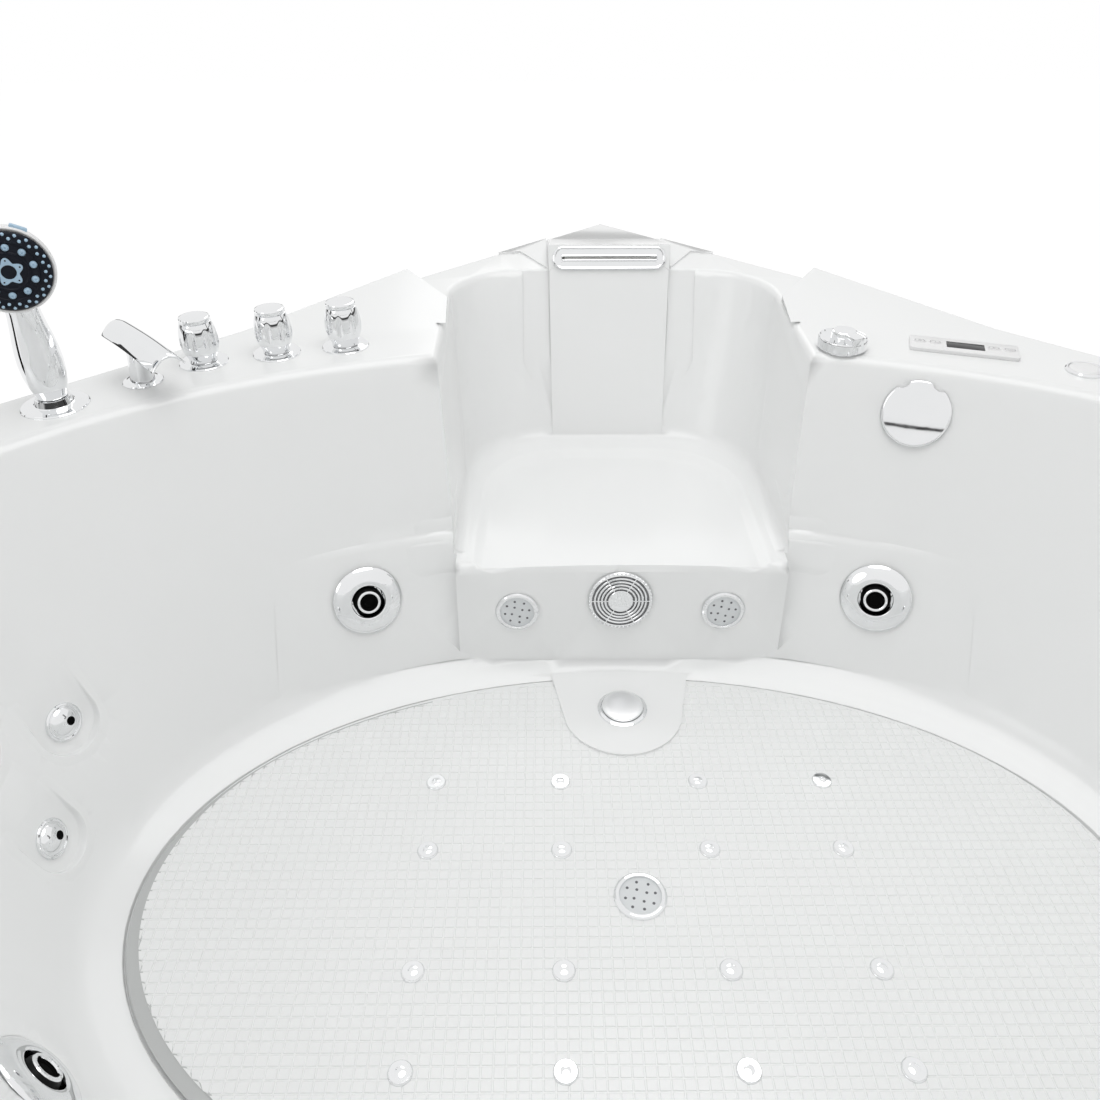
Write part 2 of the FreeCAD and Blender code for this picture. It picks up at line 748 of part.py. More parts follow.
def levelling_feet():
    """Adjustable feet: pad and stud moulded together, with a lock nut under the tube."""
    feet = []
    places = [(x, y, post_foot_z) for x, y in post_places]
    places += [(sign * 400.0, y, bearer_bottom_z) for sign in (1, -1) for y in foot_rows]
    for x, y, top in places:
        rings = [(foot_pad_radius, 0.0), (foot_pad_radius, 6.0), (foot_stud_radius + 5, 13.0),
                 (foot_stud_radius, 13.1), (foot_stud_radius, top)]
        foot = stack(rings, 12)
        nut = stack([(11.0, top - 9.0), (11.0, top)], 6)
        feet.append(at(foot.fuse(nut), V(x, y, 0)))
    return Part.makeCompound(feet)


# ---------------------------------------------------------------- jets

def big_jet_housing(place):
    point, normal = place
    barrel = lathe([(0, -big_jet_length), (big_jet_barrel, -big_jet_length), (big_jet_barrel, 0.0),
                    (big_jet_radius - 6, 0.0), (big_jet_radius - 6, 2.0), (nozzle_radius + 3.5, 2.0),
                    (nozzle_radius + 3.5, -26.0), (0, -26.0)])
    nut = lathe([(big_jet_barrel - 1, -22.0), (36.0, -22.0), (36.0, -30.0), (big_jet_barrel - 1, -30.0)])
    return at(barrel.fuse(nut), point, normal)


def big_jet_face():
    """Turned cover that sets the flow, with the round window for the nozzle."""
    low = 2.0 + running_gap
    outer = stack([(big_jet_radius - 1, low), (big_jet_radius, low + 1.4), (big_jet_radius - 5, low + 4.6),
                   (nozzle_radius + 8, low + 7.4), (nozzle_radius + 5, low + 7.6)], 32)
    window = stack([(nozzle_radius + 0.6, low - 1), (nozzle_radius + 0.5, low + 1),
                    (nozzle_radius + 3, low + 8)], 32)
    return outer.cut(window)


def big_jet_nozzle():
    """Eyeball nozzle: a ball cut flat behind, with a flared bore that ends at its diverter."""
    rings = [(nozzle_radius * math.cos(math.radians(a)), nozzle_radius * math.sin(math.radians(a)))
             for a in (-58, -38, -18, 0, 18, 38)]
    ball = stack(rings + [(14.5, 13.2)], 20)
    bore = stack([(8.0, -14.0), (10.5, 13.4)], 16)
    return ball.cut(bore)


def small_jet_housing(place):
    point, axis = place
    shape = lathe([(0, -small_jet_length), (small_jet_barrel, -small_jet_length), (small_jet_barrel, 0.0),
                   (small_jet_radius, 0.0), (small_jet_radius, 2.0), (small_jet_radius - 4, 3.2),
                   (small_jet_radius - 6.6, 3.2), (small_jet_radius - 6.6, -12.0), (0, -12.0)])
    nut = lathe([(small_jet_barrel - 1, -10.0), (26.0, -10.0), (26.0, -17.0), (small_jet_barrel - 1, -17.0)])
    return at(shape.fuse(nut), point, axis)


def small_jet_rotor():
    """Spinning dome with one slanting hole off its middle."""
    r = small_jet_radius - 6.6 - running_gap
    dome = stack([(r - 5, -11.6), (r, -9.0), (r, 3.0), (r - 3.2, 6.0), (r - 8, 7.6)], 16)
    hole = stack([(3.4, -13, 6.0, 0), (3.4, 9, 6.0, 0)], 8)
    return dome.cut(hole)


# ---------------------------------------------------------------- write the shell, casing and frame

def make_structure():
    write("tub_shell", tub_shell())
    write("front_apron", front_apron())
    write("base_board", base_board())
    write("support_frame", support_frame())
    write("levelling_feet", levelling_feet())


def make_jets():
    write("jet_housings", Part.makeCompound([big_jet_housing(p) for p in big_jets.values()]))
    for name, (point, normal) in big_jets.items():
        write("jet_face_" + name, at(big_jet_face(), point, normal))
        write("jet_nozzle_" + name, at(big_jet_nozzle(), point, normal))
    write("back_jet_housings", Part.makeCompound([small_jet_housing(p) for p in small_jets.values()]))
    for name, (point, axis) in small_jets.items():
        write("back_jet_rotor_" + name, at(small_jet_rotor(), point, axis))


def make_lights():
    bodies, lenses = [], []
    for point, normal in light_places:
        ring = lathe([(0, -light_length), (light_barrel, -light_length), (light_barrel, 0), (light_radius, 0),
                      (light_radius, 2.0), (light_radius - 3, 3.6), (light_radius - 6, 3.6),
                      (light_radius - 6, 1.0), (0, 1.0)])
        lens = lathe([(0, 1.0 + seat_gap), (light_radius - 6.3, 1.0 + seat_gap), (light_radius - 6.3, 2.6),
                      (light_radius - 12, 3.4), (0, 3.8)])
        bodies.append(at(ring, point, normal))
        lenses.append(at(lens, point, normal))
    write("light_bodies", Part.makeCompound(bodies))
    write("light_lenses", Part.makeCompound(lenses))


def make_suction():
    body = lathe([(0, -suction_length), (suction_barrel, -suction_length), (suction_barrel, 0),
                  (suction_radius - 6, 0), (suction_radius - 6, 2.0), (suction_barrel - 4, 2.0),
                  (suction_barrel - 4, -suction_length + 6), (0, -suction_length + 6)])
    low = 2.0 + seat_gap
    cover = lathe([(0, low), (suction_radius, low), (suction_radius, low + 2.4), (suction_radius - 6, low + 5),
                   (14, low + 6.4), (0, low + 6.4)])
    for radius in (19.0, 26.0, 33.0):
        for k in range(6):
            start = 60.0 * k + 7.0
            slot = lathe_sector(radius, radius + 3.4, low - 1, low + 8, start, 46.0)
            cover = cover.cut(slot)
    write("suction_body", at(body, suction_point, riser_normal))
    write("suction_cover", at(cover, suction_point, riser_normal))


def lathe_sector(inner, outer, low, high, start, sweep):
    points = [V(inner, 0, low), V(outer, 0, low), V(outer, 0, high), V(inner, 0, high)]
    solid = polygon_face(points).revolve(V(0, 0, 0), UP, sweep)
    solid.rotate(V(0, 0, 0), UP, start)
    return solid


def make_air_jets():
    pipe_top = board_bottom_z - 4.0
    tail_end = pipe_top + seat_gap
    jets = []
    for p in air_jet_points:
        cap = stack([(air_jet_radius, floor_z), (air_jet_radius - 1.5, floor_z + air_jet_height)], 16)
        tail = stack([(air_jet_tail, tail_end), (air_jet_tail, floor_z + 0.5)], 10)
        jets.append(at(cap.fuse(tail), V(p.x, p.y, 0)))
    write("air_jets", Part.makeCompound(jets))

    radius = 10.0
    pipe_z = pipe_top - radius
    header_y = -505.0
    header_z = bearer_bottom_z + 12.0
    pieces = []
    for x in air_jet_columns:
        for sign in (1, -1):
            pieces.append(pipe_run([V(sign * x, air_jet_rows[0] + 14, pipe_z), V(sign * x, header_y, pipe_z),
                                    V(sign * x, header_y, header_z)], radius))
    end = blower_place - V(0.447, 0.894, 0) * (blower_radius + seat_gap)
    rise = V(end.x, end.y, 150.0)
    pieces.append(pipe_run([V(-air_jet_columns[1], header_y, header_z), V(560, header_y, header_z),
                            V(655, -440, 150), rise], 12.0))
    write("air_manifold", pieces[0].multiFuse(pieces[1:]))


blower_place = V(800.0, -190.0, 0)
blower_radius = 75.0


def make_blower():
    body = lathe([(0, 0), (blower_radius - 20, 0), (blower_radius - 20, 22), (blower_radius, 26),
                  (blower_radius, 176), (blower_radius - 14, 196), (0, 200)])
    write("air_blower", at(body, blower_place))


# ---------------------------------------------------------------- pump and water pipework

pump_x = -800.0
pump_ports = (-770.0, -830.0)
port_y = -125.0
port_top = 190.0


def make_pump():
    base = box(pump_x - 80, pump_x + 80, -298, -82, 0, 12)
    motor = rod(V(pump_x, -298, 76), V(pump_x, -160, 76), 60)
    volute = rod(V(pump_x, -165, 76), V(pump_x, -84, 76), 68)
    ports = [rod(V(x, port_y, 76), V(x, port_y, port_top), 24) for x in pump_ports]
    feet = [box(pump_x - 60, pump_x + 60, y - 12, y + 12, 10, 40) for y in (-270, -190)]
    write("water_pump", base.multiFuse([motor, volute] + ports + feet))


def behind(place, distance):
    return place[0] - place[1] * distance


def make_manifold():
    radius = 16.0
    reach = big_jet_length + 30.0
    small_reach = small_jet_length + 24.0
    right = [behind(big_jets["right_front"], reach)]
    right += [behind(small_jets["right_" + n], small_reach) for n in ("lower", "top", "upper")]
    right += [behind(big_jets["right_back"], reach)]
    under_seat = V(0, 262, 248)
    left = [V(-p.x, p.y, p.z) for p in right]
    run = pipe_run(right + [V(200, 250, 252), under_seat, V(-200, 250, 252)] + left[::-1], radius)
    pieces = []
    for place in big_jets.values():
        pieces.append(rod(behind(place, reach), behind(place, big_jet_length + seat_gap), 13))
    for place in small_jets.values():
        pieces.append(rod(behind(place, small_reach), behind(place, small_jet_length + seat_gap), 9))
    upper = behind(small_jets["left_upper"], small_reach)
    pieces.append(pipe_run([upper, V(pump_ports[1], port_y, 262), V(pump_ports[1], port_y, port_top + seat_gap)],
                           radius))
    write("water_manifold", run.multiFuse(pieces))


def make_suction_pipe():
    radius = 19.0
    z = 205.0
    start = suction_point - riser_normal * (suction_length + seat_gap)
    points = [start, suction_point - riser_normal * (suction_length + 38), V(-60, 224, z), V(-300, 224, z),
              V(-560, 112, z), V(-700, -30, z + 8), V(pump_ports[0], port_y, z + 30),
              V(pump_ports[0], port_y, port_top + seat_gap)]
    write("suction_pipe", pipe_run(points, radius))


# ---------------------------------------------------------------- drain and overflow

def make_drain():
    z = drain_pad_z
    tube_low = 128.0
    flange = lathe([(drain_tube_radius - 3, tube_low), (drain_tube_radius, tube_low), (drain_tube_radius, z),
                    (drain_flange_radius, z), (drain_flange_radius, z + 1.2), (drain_flange_radius - 4, z + 3),
                    (drain_tube_radius - 1, z + 1.2), (drain_tube_radius - 3, z - 2)])
    guide_z = 150.0
    for turn in (0, 60, 120):
        arm = box(-drain_tube_radius + 1, drain_tube_radius - 1, -1.5, 1.5, guide_z, guide_z + 8)
        flange = flange.fuse(at(arm, V(0, 0, 0), UP, turn))
    flange = flange.fuse(Part.makeCylinder(8, 8, V(0, 0, guide_z)))
    flange = flange.cut(Part.makeCylinder(5 + running_gap, 20, V(0, 0, guide_z - 5)))
    write("drain_flange", at(flange, V(0, drain_y, 0)))

    plug = stack([(5.0, 138.0), (5.0, z + 3.4), (plug_radius, z + 3.5), (plug_radius, z + 6),
                  (plug_radius - 4, z + 8.5), (6, z + 10.5)], 28)
    write("drain_plug", at(plug, V(0, drain_y, 0)))

    cup = lathe([(drain_tube_radius + seat_gap, 126.0), (29, 126.0), (29, 150.0),
                 (drain_tube_radius + seat_gap, 150.0)])
    cup = cup.fuse(lathe([(0, 112), (29, 112), (29, 127.5 - seat_gap), (0, 127.5 - seat_gap)]))
    points = [V(0, 0, 114), V(0, 0, trap_low_z), V(0, trap_leg_y - drain_y, trap_low_z),
              V(0, trap_leg_y - drain_y, trap_high_z), V(0, outlet_y - drain_y, trap_high_z),
              V(0, outlet_y - drain_y, outlet_low_z + outlet_length)]
    trap = pipe_run(points, waste_pipe_radius)
    trap = trap.fuse(rod(V(0, outlet_y - drain_y, outlet_low_z + outlet_length + 1), V(0, outlet_y - drain_y, outlet_low_z),
                         waste_pipe_radius))
    write("drain_trap", at(cup.fuse(trap), V(0, drain_y, 0)))


def make_overflow():
    body = lathe([(0, -36), (overflow_barrel, -36), (overflow_barrel, 0), (overflow_radius - 12, 0),
                  (overflow_radius - 12, 2), (overflow_barrel - 4, 2), (overflow_barrel - 4, -30), (0, -30)])
    nut = lathe([(overflow_barrel - 1, -10), (34, -10), (34, -18), (overflow_barrel - 1, -18)])
    write("overflow_body", at(body.fuse(nut), overflow_point, overflow_normal))

    low = 2.0 + running_gap
    disc = stack([(overflow_radius - 1, low), (overflow_radius, low + 1.5), (overflow_radius, low + 5),
                  (overflow_radius - 3, low + 7.5), (12, low + 8.6)], 36)
    for angle in (62.0, 122.0):
        centre = V((overflow_radius + 7) * math.cos(math.radians(angle)),
                   (overflow_radius + 7) * math.sin(math.radians(angle)), low - 1)
        disc = disc.cut(Part.makeCylinder(11, 14, centre))
    stem = stack([(6.0, -26.0), (6.0, low + 0.5)], 12)
    write("overflow_knob", at(disc.fuse(stem), overflow_point, overflow_normal))

    back = behind((overflow_point, overflow_normal), 36 + seat_gap)
    trap_side = V(waste_pipe_radius + 12, trap_leg_y, 78)
    elbow = behind((overflow_point, overflow_normal), 62)
    pipe = pipe_run([back, elbow, V(elbow.x + 4, elbow.y + 4, 210), V(150, 196, 138), V(60, trap_leg_y + 8, 86),
                     trap_side], 15.0)
    write("overflow_pipe", pipe)


# ---------------------------------------------------------------- waterfall

def make_waterfall():
    plate = slot_plate(92.0, 18.5, seat_gap, 4.0)
    lip = slot_plate(88.0, 14.5, 4.0, 5.2)
    plate = plate.fuse(lip).cut(box(-75, 75, -2.2, 2.2, -5, 12))
    write("waterfall_plate", at(plate, nose_face_point, nose_face_normal))

    neck = box(-72, 72, -2.2, 1.6, -82, -0.6)
    neck = at(neck, nose_face_point, nose_face_normal)
    chamber = box(-78, 78, 628, 716, 545, 590)
    stub = rod(V(-70, 674, 562.5), V(-84, 674, 562.5), 11)
    write("waterfall_chamber", chamber.fuse(neck).fuse(stub))


def slot_plate(half_length, half_width, low, high):
    straight = half_length - half_width
    wire = Part.Wire([
        Part.makeLine(V(-straight, -half_width, low), V(straight, -half_width, low)),
        Part.Arc(V(straight, -half_width, low), V(half_length, 0, low), V(straight, half_width, low)).toShape(),
        Part.makeLine(V(straight, half_width, low), V(-straight, half_width, low)),
        Part.Arc(V(-straight, half_width, low), V(-half_length, 0, low), V(-straight, -half_width, low)).toShape()])
    return Part.Face(wire).extrude(V(0, 0, high - low))


# ---------------------------------------------------------------- taps on the deck

def make_taps():
    flanges = []
    for name, (x, y) in knob_places.items():
        flange = lathe([(spindle_radius + 4.5, 0), (knob_flange_radius, 0), (knob_flange_radius - 1, 1.8),
                        (knob_waist + 3, knob_flange_height), (spindle_radius + 4.5, knob_flange_height)])
        flanges.append(at(flange, V(x, y, deck_height)))
        base = knob_flange_height + running_gap
        top = base + knob_height
        barrel = stack([(knob_waist, base), (knob_waist, base + 4), (knob_belly - 2, base + 14),
                        (knob_belly, base + 26), (knob_belly - 1.5, base + 40), (knob_cap_radius, top - 5),
                        (knob_cap_radius, top - 1), (knob_cap_radius - 1, top)], 16)
        for k in range(8):
            flute = rod(V(knob_belly + 5.5, 0, base + 9), V(knob_belly + 5.5, 0, base + 47), 7.5)
            barrel = barrel.cut(at(flute, V(0, 0, 0), UP, 45.0 * k))
        bore = stack([(spindle_radius + 0.5, base - 1), (spindle_radius + 0.5, base + 30)], 16)
        write("knob_" + name, at(barrel.cut(bore), V(x, y, deck_height)))
    write("knob_flanges", Part.makeCompound(flanges))

    pieces = []
    link_z = 545.0
    for x, y in knob_places.values():
        body = stack([(17, 520), (17, deck_under_z - seat_gap)], 12)
        spindle = stack([(spindle_radius, deck_under_z - 2), (spindle_radius, deck_height + 30)], 12)
        pieces.append(at(body.fuse(spindle), V(x, y, 0)))
    run = [V(shower_place[0], shower_place[1], link_z), V(spout_place[0], spout_place[1], link_z)]
    run += [V(x, y, link_z) for x, y in knob_places.values()]
    run += [V(-292, 470, link_z), V(-216, 640, 556), V(-88, 674, 562.5)]
    pieces.append(pipe_run(run, 7.0))
    for place in (shower_place, spout_place):
        pieces.append(rod(V(place[0], place[1], link_z), V(place[0], place[1], 559.7), 7.0))
    write("mixer_valves", pieces[0].multiFuse(pieces[1:]))

    pipes = []
    for name in ("hot", "cold"):
        x, y = knob_places[name]
        tube_part = rod(V(x, y, 330), V(x, y, 520 - seat_gap), 8.0)
        thread = rod(V(x, y, 330), V(x, y, 352), 10.5)
        nut = stack([(15, 352), (15, 366)], 6)
        pipes.append(tube_part.fuse(thread).fuse(at(nut, V(x, y, 0))))
    write("supply_pipes", Part.makeCompound(pipes))


# ---------------------------------------------------------------- hand shower

shower_facing = V(0.49, -0.87, 0.0).normalize()
handle_low = 8.0
head_height = 168.0
handset_travel = 120.0


def make_shower():
    x, y = shower_place
    socket = lathe([(15.0, -40), (15.0, 0), (shower_flange_radius, 0), (shower_flange_radius - 1.5, 2.2),
                    (22, 4), (20, 12), (14.2, 12), (14.2, -36), (0, -36), (0, -40)])
    write("shower_socket", at(socket, V(x, y, deck_height)))

    tail = stack([(13.6, -33), (13.6, 12 + seat_gap + 0.5)], 20)
    tail = at(tail, V(x, y, deck_height))
    swell = ((16.5, 12 + seat_gap, 0), (18, 18, 0), (23.5, 42, -1), (24.5, 58, -2), (23, 78, -2),
             (19, 100, 0), (17, 118, 3), (17.5, 132, 6), (19, 138, 8))
    grip = stack([(r, deck_height + z, x + shower_facing.x * lean, y + shower_facing.y * lean)
                  for r, z, lean in swell], 20)
    head_point = V(x, y, deck_height + head_height) + shower_facing * 28.0
    head = stack([(14, -38), (32, -32), (42, -22), (46.5, -10), (46.5, -2), (44, 0)], 32)
    head = at(head, head_point, shower_facing)
    write("shower_handset", grip.multiFuse([tail, head]))

    face = stack([(42.0, running_gap), (42.0, 2.0), (38, 4.2), (24, 4.8), (22, 3.6), (10, 3.8)], 32)
    write("shower_face", at(face, head_point, shower_facing))
    return head_point


def make_spout():
    x, y = spout_place
    flange = lathe([(0, 0), (24.5, 0), (24.5, 1.5), (20, 3), (0, 3)])
    flange = at(flange, V(x, y, deck_height))
    tail = rod(V(x, y, 560), V(x, y, deck_height + 1), 10.0)
    back = V(-632, 200, 655)
    front = V(-546, 124, 641)
    run = front - back
    width, height, skin = 19.5, 15.0, 2.4
    arch = at(arch_face(width, height).extrude(V(0, 0, run.Length)), front, back - front)
    hollow = at(arch_face(width - skin, height - skin).extrude(V(0, 0, run.Length - 10)), front, back - front)
    pillar = stack([(15.5, deck_height + 2.5, x, y), (14, deck_height + 20, x + 3, y - 3),
                    (13.5, deck_height + 54, x + 7, y - 7)], 20)
    neck = stack([(13.5, deck_height + 45, x + 7, y - 7), (13.5, deck_height + 75, x + 7, y - 7)], 20)
    write("bath_spout", arch.cut(hollow.cut(neck)).multiFuse([pillar, flange, tail]))


def arch_face(half, height):
    arc = Part.Arc(V(-half, 0, 0), V(0, height, 0), V(half, 0, 0)).toShape()
    return Part.Face(Part.Wire([arc, Part.makeLine(V(half, 0, 0), V(-half, 0, 0))]))


# ---------------------------------------------------------------- right deck: air knob, panel, button

def make_air_knob():
    x, y = air_knob_place
    base = lathe([(0, -45), (11, -45), (11, 0), (28, 0), (28, 2), (5.0, 2), (5.0, 14), (0, 14)])
    write("air_regulator_base", at(base, V(x, y, deck_height)))
    low = 2.0 + running_gap
    knob = stack([(31.5, low), (32.5, low + 2), (32.5, low + 16), (30.5, low + 18)], 32)
    bar = box(-9, 9, -31.5, 8, low + 10, low + 24)
    dome = Part.makeCylinder(15, 24, V(0, 0, low))
    bore = stack([(5.0 + running_gap, low - 1), (5.0 + running_gap, 14 + running_gap)], 12)
    knob = knob.multiFuse([bar, dome]).cut(bore)
    write("air_regulator_knob", at(knob, V(x, y, deck_height), UP, 22.0))


key_places = (-56.0, -36.5, 37.0, 57.0)
key_v = 2.0


def oval_prism(length, width, low, high):
    wire = Part.Wire([Part.Ellipse(V(0, 0, low), length / 2, width / 2).toShape()])
    return Part.Face(wire).extrude(V(0, 0, high - low))


def make_panel():
    x, y = panel_place
    place = V(x, y, deck_height)
    plate = box(-panel_length / 2, panel_length / 2, -panel_width / 2, panel_width / 2, 0, panel_proud)
    corners = [e for e in plate.Edges if abs(e.Vertexes[0].Z - e.Vertexes[-1].Z) > 1]
    plate = plate.makeFillet(4.0, corners)
    plate = plate.fuse(box(-55, 55, -15, 15, -24, 1))
    floor = 1.0
    for u in key_places:
        pocket = oval_prism(key_length + 2 * seat_gap, key_width + 2 * seat_gap, floor, panel_proud + 1)
        pocket.translate(V(u, key_v, 0))
        plate = plate.cut(pocket)
    window = box(-22, 26, -10, 11, panel_proud - 2.5, panel_proud + 1)
    plate = plate.cut(window)
    write("control_panel", at(plate, place, UP, panel_turn))
    display = box(-22 + seat_gap, 26 - seat_gap, -10 + seat_gap, 11 - seat_gap,
                  panel_proud - 2.5 + seat_gap, panel_proud - 0.4)
    write("panel_display", at(display, place, UP, panel_turn))
    for number, u in enumerate(key_places, 1):
        key = oval_prism(key_length, key_width, floor + seat_gap + key_travel, panel_proud + 1.2)
        key.translate(V(u, key_v, 0))
        write("panel_key_" + str(number), at(key, place, UP, panel_turn))


def make_button():
    x, y = button_place
    r = button_radius
    rim = lathe([(0, -14), (12, -14), (12, -9), (r + 1.6, -9), (r + 1.6, 0), (r + 4, 0), (r + 4, 2),
                 (r + 2, 3.6), (r + seat_gap, 3.6), (r + seat_gap, -6), (0, -6)])
    write("button_rim", at(rim, V(x, y, deck_height)))
    low = -6 + button_travel + seat_gap
    cap = stack([(r - 0.3, low), (r - 0.1, low + 1), (r - 0.1, 3.6), (r - 4, 5.6), (5, 6.4)], 32)
    write("button_cap", at(cap, V(x, y, deck_height)))


def make_control_box():
    right = post_places[0][0] - tube / 2 - seat_gap
    write("control_box", box(right - 108, right, -115, -20, 250, 400))


make_structure()
make_jets()
make_lights()
make_suction()
make_air_jets()
make_blower()
make_pump()
make_manifold()
make_suction_pipe()
make_drain()
make_overflow()
make_waterfall()
make_taps()
head_point = make_shower()
make_spout()
make_air_knob()
make_panel()
make_button()
make_control_box()
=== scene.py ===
import bpy
import bmesh
import json
import math
from mathutils import Matrix, Vector


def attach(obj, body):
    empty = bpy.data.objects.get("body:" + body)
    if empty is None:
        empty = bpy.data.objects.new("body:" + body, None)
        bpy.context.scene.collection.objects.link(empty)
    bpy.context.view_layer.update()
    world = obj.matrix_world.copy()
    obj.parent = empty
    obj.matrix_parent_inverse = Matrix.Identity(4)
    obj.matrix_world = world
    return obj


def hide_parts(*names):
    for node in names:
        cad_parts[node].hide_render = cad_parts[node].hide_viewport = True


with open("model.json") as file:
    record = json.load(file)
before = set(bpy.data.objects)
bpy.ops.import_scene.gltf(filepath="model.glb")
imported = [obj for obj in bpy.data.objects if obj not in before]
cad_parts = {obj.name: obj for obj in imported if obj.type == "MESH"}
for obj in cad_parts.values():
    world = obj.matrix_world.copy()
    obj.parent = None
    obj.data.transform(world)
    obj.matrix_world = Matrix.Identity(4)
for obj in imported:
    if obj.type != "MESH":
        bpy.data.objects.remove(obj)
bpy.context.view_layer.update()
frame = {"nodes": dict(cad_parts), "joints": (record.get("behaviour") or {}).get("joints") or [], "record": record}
nodes = frame["nodes"]
joints = {joint["name"]: joint for joint in frame["joints"]}
mm = 0.001
scene = bpy.context.scene
print("frame loaded:", len(nodes), "nodes")


# ---- shader helpers

class Wire:
    def __init__(self, tree, socket):
        self.tree = tree
        self.socket = socket

    def maths(self, operation, other=None, flipped=False):
        node = self.tree.nodes.new("ShaderNodeMath")
        node.operation = operation
        pair = [self, other] if not flipped else [other, self]
        for slotNumber, value in enumerate(pair):
            if isinstance(value, Wire):
                self.tree.links.new(value.socket, node.inputs[slotNumber])
            elif value is not None:
                node.inputs[slotNumber].default_value = value
        return Wire(self.tree, node.outputs[0])

    def __add__(self, other): return self.maths("ADD", other)
    def __radd__(self, other): return self.maths("ADD", other)
    def __sub__(self, other): return self.maths("SUBTRACT", other)
    def __rsub__(self, other): return self.maths("SUBTRACT", other, flipped=True)
    def __mul__(self, other): return self.maths("MULTIPLY", other)
    def __rmul__(self, other): return self.maths("MULTIPLY", other)
    def __gt__(self, other): return self.maths("GREATER_THAN", other)
    def __lt__(self, other): return self.maths("LESS_THAN", other)


class Finish:
    def __init__(self, name, **sockets):
        self.material = bpy.data.materials.new(name)
        self.material.use_nodes = True
        self.tree = self.material.node_tree
        self.shader = self.tree.nodes["Principled BSDF"]
        for label, value in sockets.items():
            self.put(label.replace("_", " "), value)

    def put(self, label, value):
        socket = self.shader.inputs[label]
        if isinstance(value, Wire):
            self.tree.links.new(value.socket, socket)
        elif isinstance(value, tuple) and len(value) == 3:
            socket.default_value = (*value, 1.0)
        else:
            socket.default_value = value

    def add(self, kind, settings=None, out=0, **inputs):
        node = self.tree.nodes.new("ShaderNode" + kind)
        for key, value in (settings or {}).items():
            setattr(node, key, value)
        for label, value in inputs.items():
            socket = node.inputs[label.replace("_", " ")]
            if isinstance(value, Wire):
                self.tree.links.new(value.socket, socket)
            else:
                socket.default_value = value
        return Wire(self.tree, node.outputs[out])

    def place(self):
        return self.add("TexCoord", out=3)

    def noise(self, scale, detail=2.0, rough=0.5, place=None):
        return self.add("TexNoise", Vector=place or self.place(), Scale=scale, Detail=detail, Roughness=rough)

    def blend(self, amount, first, second):
        node = self.tree.nodes.new("ShaderNodeMix")
        node.data_type = "RGBA"
        self.tree.links.new(amount.socket, node.inputs[0])
        for socket, value in ((node.inputs[6], first), (node.inputs[7], second)):
            if isinstance(value, Wire):
                self.tree.links.new(value.socket, socket)
            else:
                socket.default_value = (*value, 1.0)
        return Wire(self.tree, node.outputs[2])

    def bump(self, height, strength, distance):
        self.put("Normal", self.add("Bump", Height=height, Strength=strength, Distance=distance))


# ---- materials

def acrylicFinish():
    made = Finish("glossyAcrylic", Roughness=0.16, IOR=1.49)
    cloud = made.noise(3.0, 3.0)
    made.put("Base Color", made.blend(cloud, (0.855, 0.865, 0.86), (0.885, 0.89, 0.888)))
    made.put("Roughness", 0.13 + made.noise(9.0, 2.0) * 0.06)
    made.bump(made.noise(260.0, 2.0), 0.05, 0.0004)
    return made.material


def meshFloorFinish():
    made = Finish("ribbedAcrylic", IOR=1.49)
    made.put("Base Color", made.blend(made.noise(5.0), (0.85, 0.86, 0.855), (0.88, 0.885, 0.883)))
    made.put("Roughness", 0.22 + made.noise(12.0) * 0.05)
    return made.material


def chromeFinish():
    made = Finish("polishedChrome", Metallic=1.0)
    haze = made.noise(14.0, 3.0)
    made.put("Base Color", made.blend(haze, (0.80, 0.81, 0.82), (0.87, 0.875, 0.88)))
    made.put("Roughness", 0.015 + made.noise(40.0, 3.0) * 0.02)
    made.bump(made.noise(90.0, 1.0), 0.02, 0.0003)
    return made.material


def satinFinish():
    made = Finish("satinChrome", Metallic=1.0)
    made.put("Base Color", made.blend(made.noise(14.0), (0.93, 0.935, 0.94), (0.96, 0.965, 0.97)))
    made.put("Roughness", 0.26 + made.noise(40.0) * 0.06)
    return made.material


def plainFinish(name, low, high, rough, spread=0.06, scale=18.0, grain=0.0, grainScale=900.0, **more):
    made = Finish(name, **more)
    made.put("Base Color", made.blend(made.noise(scale, 3.0), low, high))
    made.put("Roughness", rough + made.noise(scale * 2.3, 2.0) * spread)
    if grain:
        made.bump(made.noise(grainScale, 2.0), grain, 0.0003)
    return made.material


def boardFinish():
    made = Finish("particleBoard")
    flakes = made.add("TexVoronoi", Vector=made.place(), Scale=260.0)
    cloud = made.noise(30.0, 4.0)
    made.put("Base Color", made.blend(flakes * 0.7 + cloud * 0.4, (0.30, 0.20, 0.11), (0.52, 0.39, 0.24)))
    made.put("Roughness", 0.62 + cloud * 0.2)
    made.bump(flakes, 0.25, 0.0006)
    return made.material


